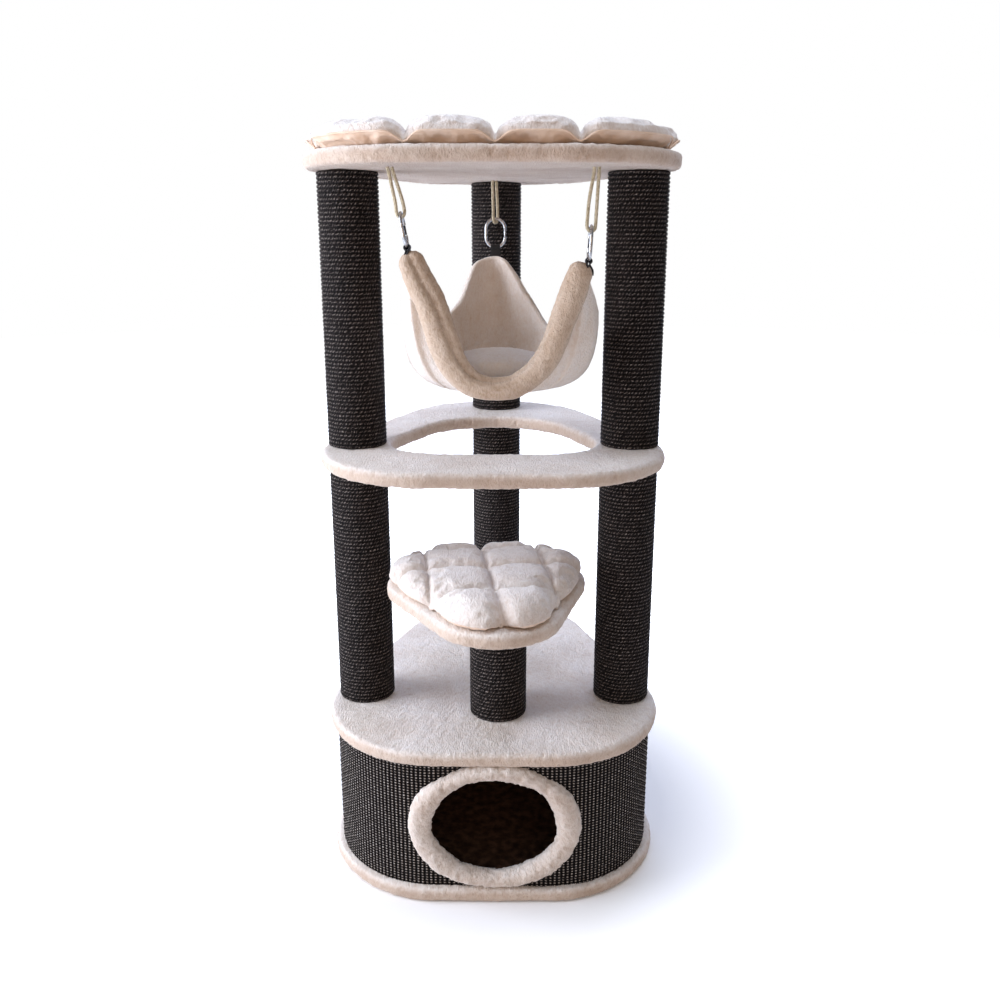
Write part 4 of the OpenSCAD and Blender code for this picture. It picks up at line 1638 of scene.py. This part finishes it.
@dataclass
class TopPlatform:
    """The top board and its loose quilted cushion."""

    palette: Palette

    def build(self) -> None:
        """Make the slab, the cushion and its edge seam."""
        slab = plush_slab("top_slab_plush", PLATFORM, TOP_Z, 0.0, 31, 1.2)
        place(slab, "tower", self.palette.top_plush, "top_cover")
        cushion = QuiltedCushion(
            self.palette, "top_cushion_quilted", PLATFORM, inset=5.0, floor_z=TOP_Z + SLAB + 0.4, crown=32.0,
            seam=13.0, edge_z=15.0, pinch_z=3.0, pinch_in=11.0, columns_at=(-109.0, 6.0, 114.0),
            rows_at=(-175.0, -65.0, 45.0, 155.0), round_in=26.0, seed=83)
        here = lambda xy: xy
        cushion.build("top_cushion", "top_cushion", self.palette.cushion_plush, here, 0.6)
        cushion.piping("top_cushion_piping", "top_cushion", self.palette.smooth, here)


@dataclass
class SwivelSeat:
    """The turning seat: a plush slab and its quilted cushion."""

    palette: Palette

    def turned(self, xy: Array) -> Array:
        """Plan points of the seat's own frame, turned and moved onto the short post.

        Args:
            xy: plan points.

        Returns:
            An array like xy.
        """
        c, s = math.cos(SEAT_TURN), math.sin(SEAT_TURN)
        q = xy - SEAT_BOLT
        x = q[..., 0] * c - q[..., 1] * s + SHORT_POST[0]
        y = q[..., 0] * s + q[..., 1] * c + SHORT_POST[1]
        return np.stack([x, y], -1)

    def build(self) -> None:
        """Make the slab and the cushion."""
        slab = plush_slab("seat_slab_plush", SEAT, SEAT_Z, 0.0, 37, 1.2, self.turned, 400)
        place(slab, "seat", self.palette.top_plush, "seat_cover")
        cushion = QuiltedCushion(
            self.palette, "seat_cushion_quilted", SEAT, inset=3.0, floor_z=SEAT_Z + SLAB + 0.2, crown=35.5,
            seam=27.5, edge_z=8.0, pinch_z=3.0, pinch_in=9.0, columns_at=(-86.0, 2.0, 94.0),
            rows_at=(-112.0, -32.0, 62.0), round_in=42.0, seed=97, notch=12.0, puff=2.5, flatness=4.0)
        cushion.build("seat", "seat_cushion", self.palette.cushion_plush, self.turned, 0.75)


@dataclass
class Hammock:
    """The hanging pouch: a padded wall, a rolled front rim, a floor pad, webbing loops and hooks."""

    palette: Palette
    floor: tuple[float, float, float] = (8.0, -97.0, 766.0)
    wall: float = 11.0
    front: tuple[tuple[float, float], ...] = (
        (-112, 966), (-106, 948), (-95, 922), (-86, 905), (-77, 880), (-66, 845), (-52, 813), (-34, 792),
        (-15, 783), (8, 780.5), (32, 784), (57, 800), (74, 819), (86, 843), (98, 876), (109, 906),
        (119, 934), (127, 951))

    def rim(self, count: int) -> Array:
        """The pouch's rim: one closed smooth curve through its three corners and its dipping sides.

        Args:
            count: how many points.

        Returns:
            count by 3.
        """
        front = [(x, -200.0, z) for x, z in self.front[1:-1]]
        right = [(128, -201, 936), (149, -172, 893), (150, -130, 855), (129, -75, 836), (98, -25, 838),
                 (72, 22, 866), (46, 60, 914), (26, 82, 938)]
        left = [(3, 90, 947), (-18, 82, 944), (-38, 60, 930), (-66, 22, 874), (-94, -25, 846),
                (-117, -75, 845), (-130, -130, 866), (-126, -176, 912), (-114, -201, 940)]
        return smooth_path(front + right + left, count, closed=True)

    def wall_grid(self, cols: int, rows: int) -> Array:
        """The outer wall: from the floor's oval to the rim on a quadratic curve, its middle low and wide.

        Args:
            cols: points round it.
            rows: points up it.

        Returns:
            Rows by columns by 3, the floor's rows first.
        """
        rim = self.rim(cols)
        x0, y0, z0 = self.floor
        plan = rim[:, :2] - np.array([x0, y0])
        bearing = np.arctan2(plan[:, 1], plan[:, 0])
        foot = np.stack([x0 + 66 * np.cos(bearing), y0 + 74 * np.sin(bearing), np.full(cols, z0)], -1)
        elbow = np.concatenate([rim[:, :2] + 0.04 * plan, np.full((cols, 1), z0 + 1.0)], -1)
        elbow[:, :2] -= np.array([0, 1.0]) * np.clip((rim[:, 1:2] - 20) / 70, 0, 1) * 26
        t = np.linspace(0, 1, rows)[:, None, None]
        up = (1 - t) ** 2 * foot + 2 * t * (1 - t) * elbow + t**2 * rim
        inner = np.linspace(0, 1, 8)[:-1][:, None, None]
        middle = np.array([x0, y0, z0 - 1.0])
        base = middle + (foot - middle) * inner
        return np.concatenate([base, up])

    def pouch(self) -> Thing:
        """The padded wall: the outer grid, a rounded lip, and the same grid moved in by the wall's thickness.

        Returns:
            The piece.
        """
        outer = self.wall_grid(300, 34)
        normal = grid_normals(outer)
        centre = np.array([self.floor[0], self.floor[1], 860.0])
        facing = np.sign(((outer - centre) * normal).sum(-1, keepdims=True).mean())
        normal = normal * facing
        bearing = np.degrees(np.arctan2(outer[..., 1] - self.floor[1], outer[..., 0] - self.floor[0]))
        height = np.clip((outer[..., 2] - 790) / 100, 0, 1)
        fold = 6.0 * np.sin(np.radians((bearing - 90) * 9)) * np.exp(-(((bearing - 90) / 32) ** 2)) * height
        crease = 2.2 * lattice_noise(outer * np.array([1, 1, 0.35]), 26, 105)
        crease = crease * np.clip((outer[..., 2] - 770) / 40, 0, 1)
        outer = outer + normal * (fold + crease)[..., None]
        inner = outer - normal * self.wall
        lip_mid = (outer[-1] + inner[-1]) / 2
        up = outer[-1] - outer[-2]
        up /= np.linalg.norm(up, axis=-1, keepdims=True)
        half = (outer[-1] - inner[-1]) / 2
        a = np.radians(np.linspace(15, 165, 7))
        c, s = np.cos(a)[:, None, None], np.sin(a)[:, None, None]
        lip = lip_mid[None] + c * half[None] + s * up[None] * self.wall / 2
        grid = np.concatenate([outer, lip, inner[::-1]])
        obj = grid_object("hammock_pouch", grid)
        outward(obj)
        fluff(obj, 107, 0.5)
        return obj

    def build(self) -> None:
        """Make every piece of the hammock."""
        pouch = self.pouch()
        place(pouch, "hammock", self.palette.hammock_plush, "hammock_shell")
        self.roll()
        self.pad()
        self.straps()

    def roll(self) -> None:
        """The front rim's roll: a flattened tube along the front curve, wider on its left arm."""
        path2 = smooth_path(self.front, 170)
        t = np.linspace(0, 1, 170)
        path = np.stack([path2[:, 0], -215 - 5 * np.sin(np.pi * t), path2[:, 1]], -1)
        across = np.interp(t, [0, 0.05, 0.12, 0.3, 0.5, 0.7, 0.92, 1], [17, 19, 21.5, 22, 16.5, 17.5, 19, 17])
        deep = np.interp(t, [0, 0.1, 0.5, 0.9, 1], [12, 15, 15, 15, 12])
        end = np.sqrt(np.clip(1 - (1 - np.minimum(t, 1 - t) / 0.032).clip(0, 1) ** 2, 0, 1))
        end = np.maximum(end, 0.02)
        side, up = frames_along(path, (0, -1, 0))
        b = np.linspace(-np.pi, np.pi, 72, endpoint=False)
        valley = np.interp(t, [0, 0.4, 0.6, 1], [-0.05, -0.7, -1.1, -1.2])
        depth = np.interp(t, [0, 0.04, 0.4, 0.6, 1], [0.1, 0.3, 0.3, 0.1, 0.06])
        seam = 1 - depth[:, None] * np.exp(-(((b[None] - valley[:, None]) / 0.24) ** 2))
        ring = (np.cos(b)[None, :, None] * side[:, None] * (deep * end)[:, None, None]
                + np.sin(b)[None, :, None] * up[:, None] * (across * end)[:, None, None]) * seam[..., None]
        grid = path[:, None] + ring
        obj = grid_object("hammock_front_roll", grid)
        outward(obj)
        fluff(obj, 111, 0.8, 0.1)
        place(obj, "hammock", self.palette.roll_plush)

    def pad(self) -> None:
        """The floor pad: a domed oval, height = 25 + 12 (1 - r^2.6) on a rounded edge."""
        cols = 160
        a = np.linspace(0, 2 * np.pi, cols, endpoint=False)
        share = np.concatenate([np.linspace(0, 0.92, 8), [0.98, 1.0, 0.985], np.linspace(0.95, 0, 26)])
        z = np.concatenate([np.full(8, 0.0), [4, 11, 19], 25 + 12 * (1 - np.linspace(0.95, 0, 26) ** 2.6)])
        x0, y0, z0 = self.floor
        grid = np.stack([x0 + 74 * share[:, None] * np.cos(a), y0 + 4 + 80 * share[:, None] * np.sin(a),
                         np.broadcast_to((z0 + self.wall + 6 + z)[:, None], (len(share), cols))], -1)
        obj = grid_object("hammock_floor_pad", grid)
        outward(obj)
        fluff(obj, 113, 0.8)
        place(obj, "hammock", self.palette.pad_plush, "hammock_pad")

    def straps(self) -> None:
        """Webbing loops: a flat band carried up from a corner, round the hook's foot and down again."""
        lower = -22.7
        for name, (at, lean) in HOOKS.items():
            edge_on = name != "rear"
            tail = 15.0 if name == "left" else 14.0
            a = np.radians(np.linspace(-60, 240, 25))
            arc = np.stack([3.6 * np.cos(a), 3.6 * np.sin(a) + lower], -1)
            down = np.array([[1.4, lower - tail - 5], [1.6, lower - tail * 0.6]])
            path = np.concatenate([down, arc, down[::-1] * [-1, 1]])
            path = smooth_path(path, 60)
            step = np.gradient(path, axis=0)
            step /= np.linalg.norm(step, axis=1, keepdims=True)
            out = np.stack([step[:, 1], -step[:, 0]], -1)
            w, t = 8.0, 0.8
            section = np.array([
                (-w, -t), (-w + 0.6, -t - 0.3), (w - 0.6, -t - 0.3), (w, -t),
                (w, t), (w - 0.6, t + 0.3), (-w + 0.6, t + 0.3), (-w, t)])
            flat = path[:, None] + out[:, None] * section[None, :, 1:2]
            across = np.broadcast_to(section[None, :, :1], flat.shape[:2] + (1,))
            local = np.concatenate([flat[..., :1], across, flat[..., 1:]], -1)
            if not edge_on:
                local = local[..., [1, 0, 2]]
            share = np.clip((lower - 2 - local[..., 2]) / tail, 0, 1) * edge_on
            twist = np.radians(65) * share * share * (3 - 2 * share)
            cos, sin = np.cos(twist), np.sin(twist)
            local = np.stack([
                local[..., 0] * cos + local[..., 1] * sin, local[..., 1] * cos - local[..., 0] * sin,
                local[..., 2]], -1)
            c, s = math.cos(math.radians(lean)), math.sin(math.radians(lean))
            x, y, z = local[..., 0], local[..., 1], local[..., 2]
            grid = np.stack([x * c + z * s + at[0], y + at[1], -x * s + z * c + at[2]], -1)
            ends = [row.mean(1, keepdims=True).repeat(8, 1) for row in (grid[:1], grid[-1:])]
            grid = np.concatenate([ends[0], grid, ends[1]])
            obj = grid_object(f"webbing_{name}", grid, smooth=False)
            outward(obj)
            place(obj, "hammock", self.palette.webbing, f"strap_{name}")


def dress_cad(nodes: dict[str, Thing], palette: Palette) -> None:
    """Give each CAD part that stays its finish.

    Args:
        nodes: the CAD nodes by name.
        palette: the finishes.
    """
    kinds = {
        "board": palette.chipboard, "plugs": palette.chipboard, "tube": palette.cardboard,
        "wall": palette.hardboard, "bolt": palette.zinc, "washer": palette.zinc, "studs": palette.zinc,
        "hook": palette.zinc,
        "gate": palette.dark_steel, "disc": palette.disc,
    }
    for name, obj in nodes.items():
        for word, finish in kinds.items():
            if word in name:
                obj.data.materials.clear()
                obj.data.materials.append(finish.material)


def main() -> None:
    """Build everything around the frame."""
    logging.basicConfig(level=logging.INFO, format="%(message)s")
    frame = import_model()
    Studio().build()
    palette = Palette()
    HangingCords(palette).build()
    dress_cad(frame["nodes"], palette)
    for side, (at, lean) in HOOKS.items():
        turn, gate = (0.0, palette.zinc) if side == "rear" else (90.0, palette.dark_steel)
        SnapHook(palette, side, at, lean, turn, gate).build()
    CaveBox(palette).build()
    for name, centre in POSTS.items():
        SisalPost(palette, f"sisal_lower_rope_{name}", centre, BASE_TOP, RING_Z - BASE_TOP).build()
        SisalPost(palette, f"sisal_upper_rope_{name}", centre, RING_Z + SLAB, TOP_Z - RING_Z - SLAB).build()
    SisalPost(palette, "sisal_short_rope", SHORT_POST, BASE_TOP, 193.0).build()
    RingPlatform(palette).build()
    TopPlatform(palette).build()
    SwivelSeat(palette).build()
    Hammock(palette).build()


if __name__ == "__main__":
    main()
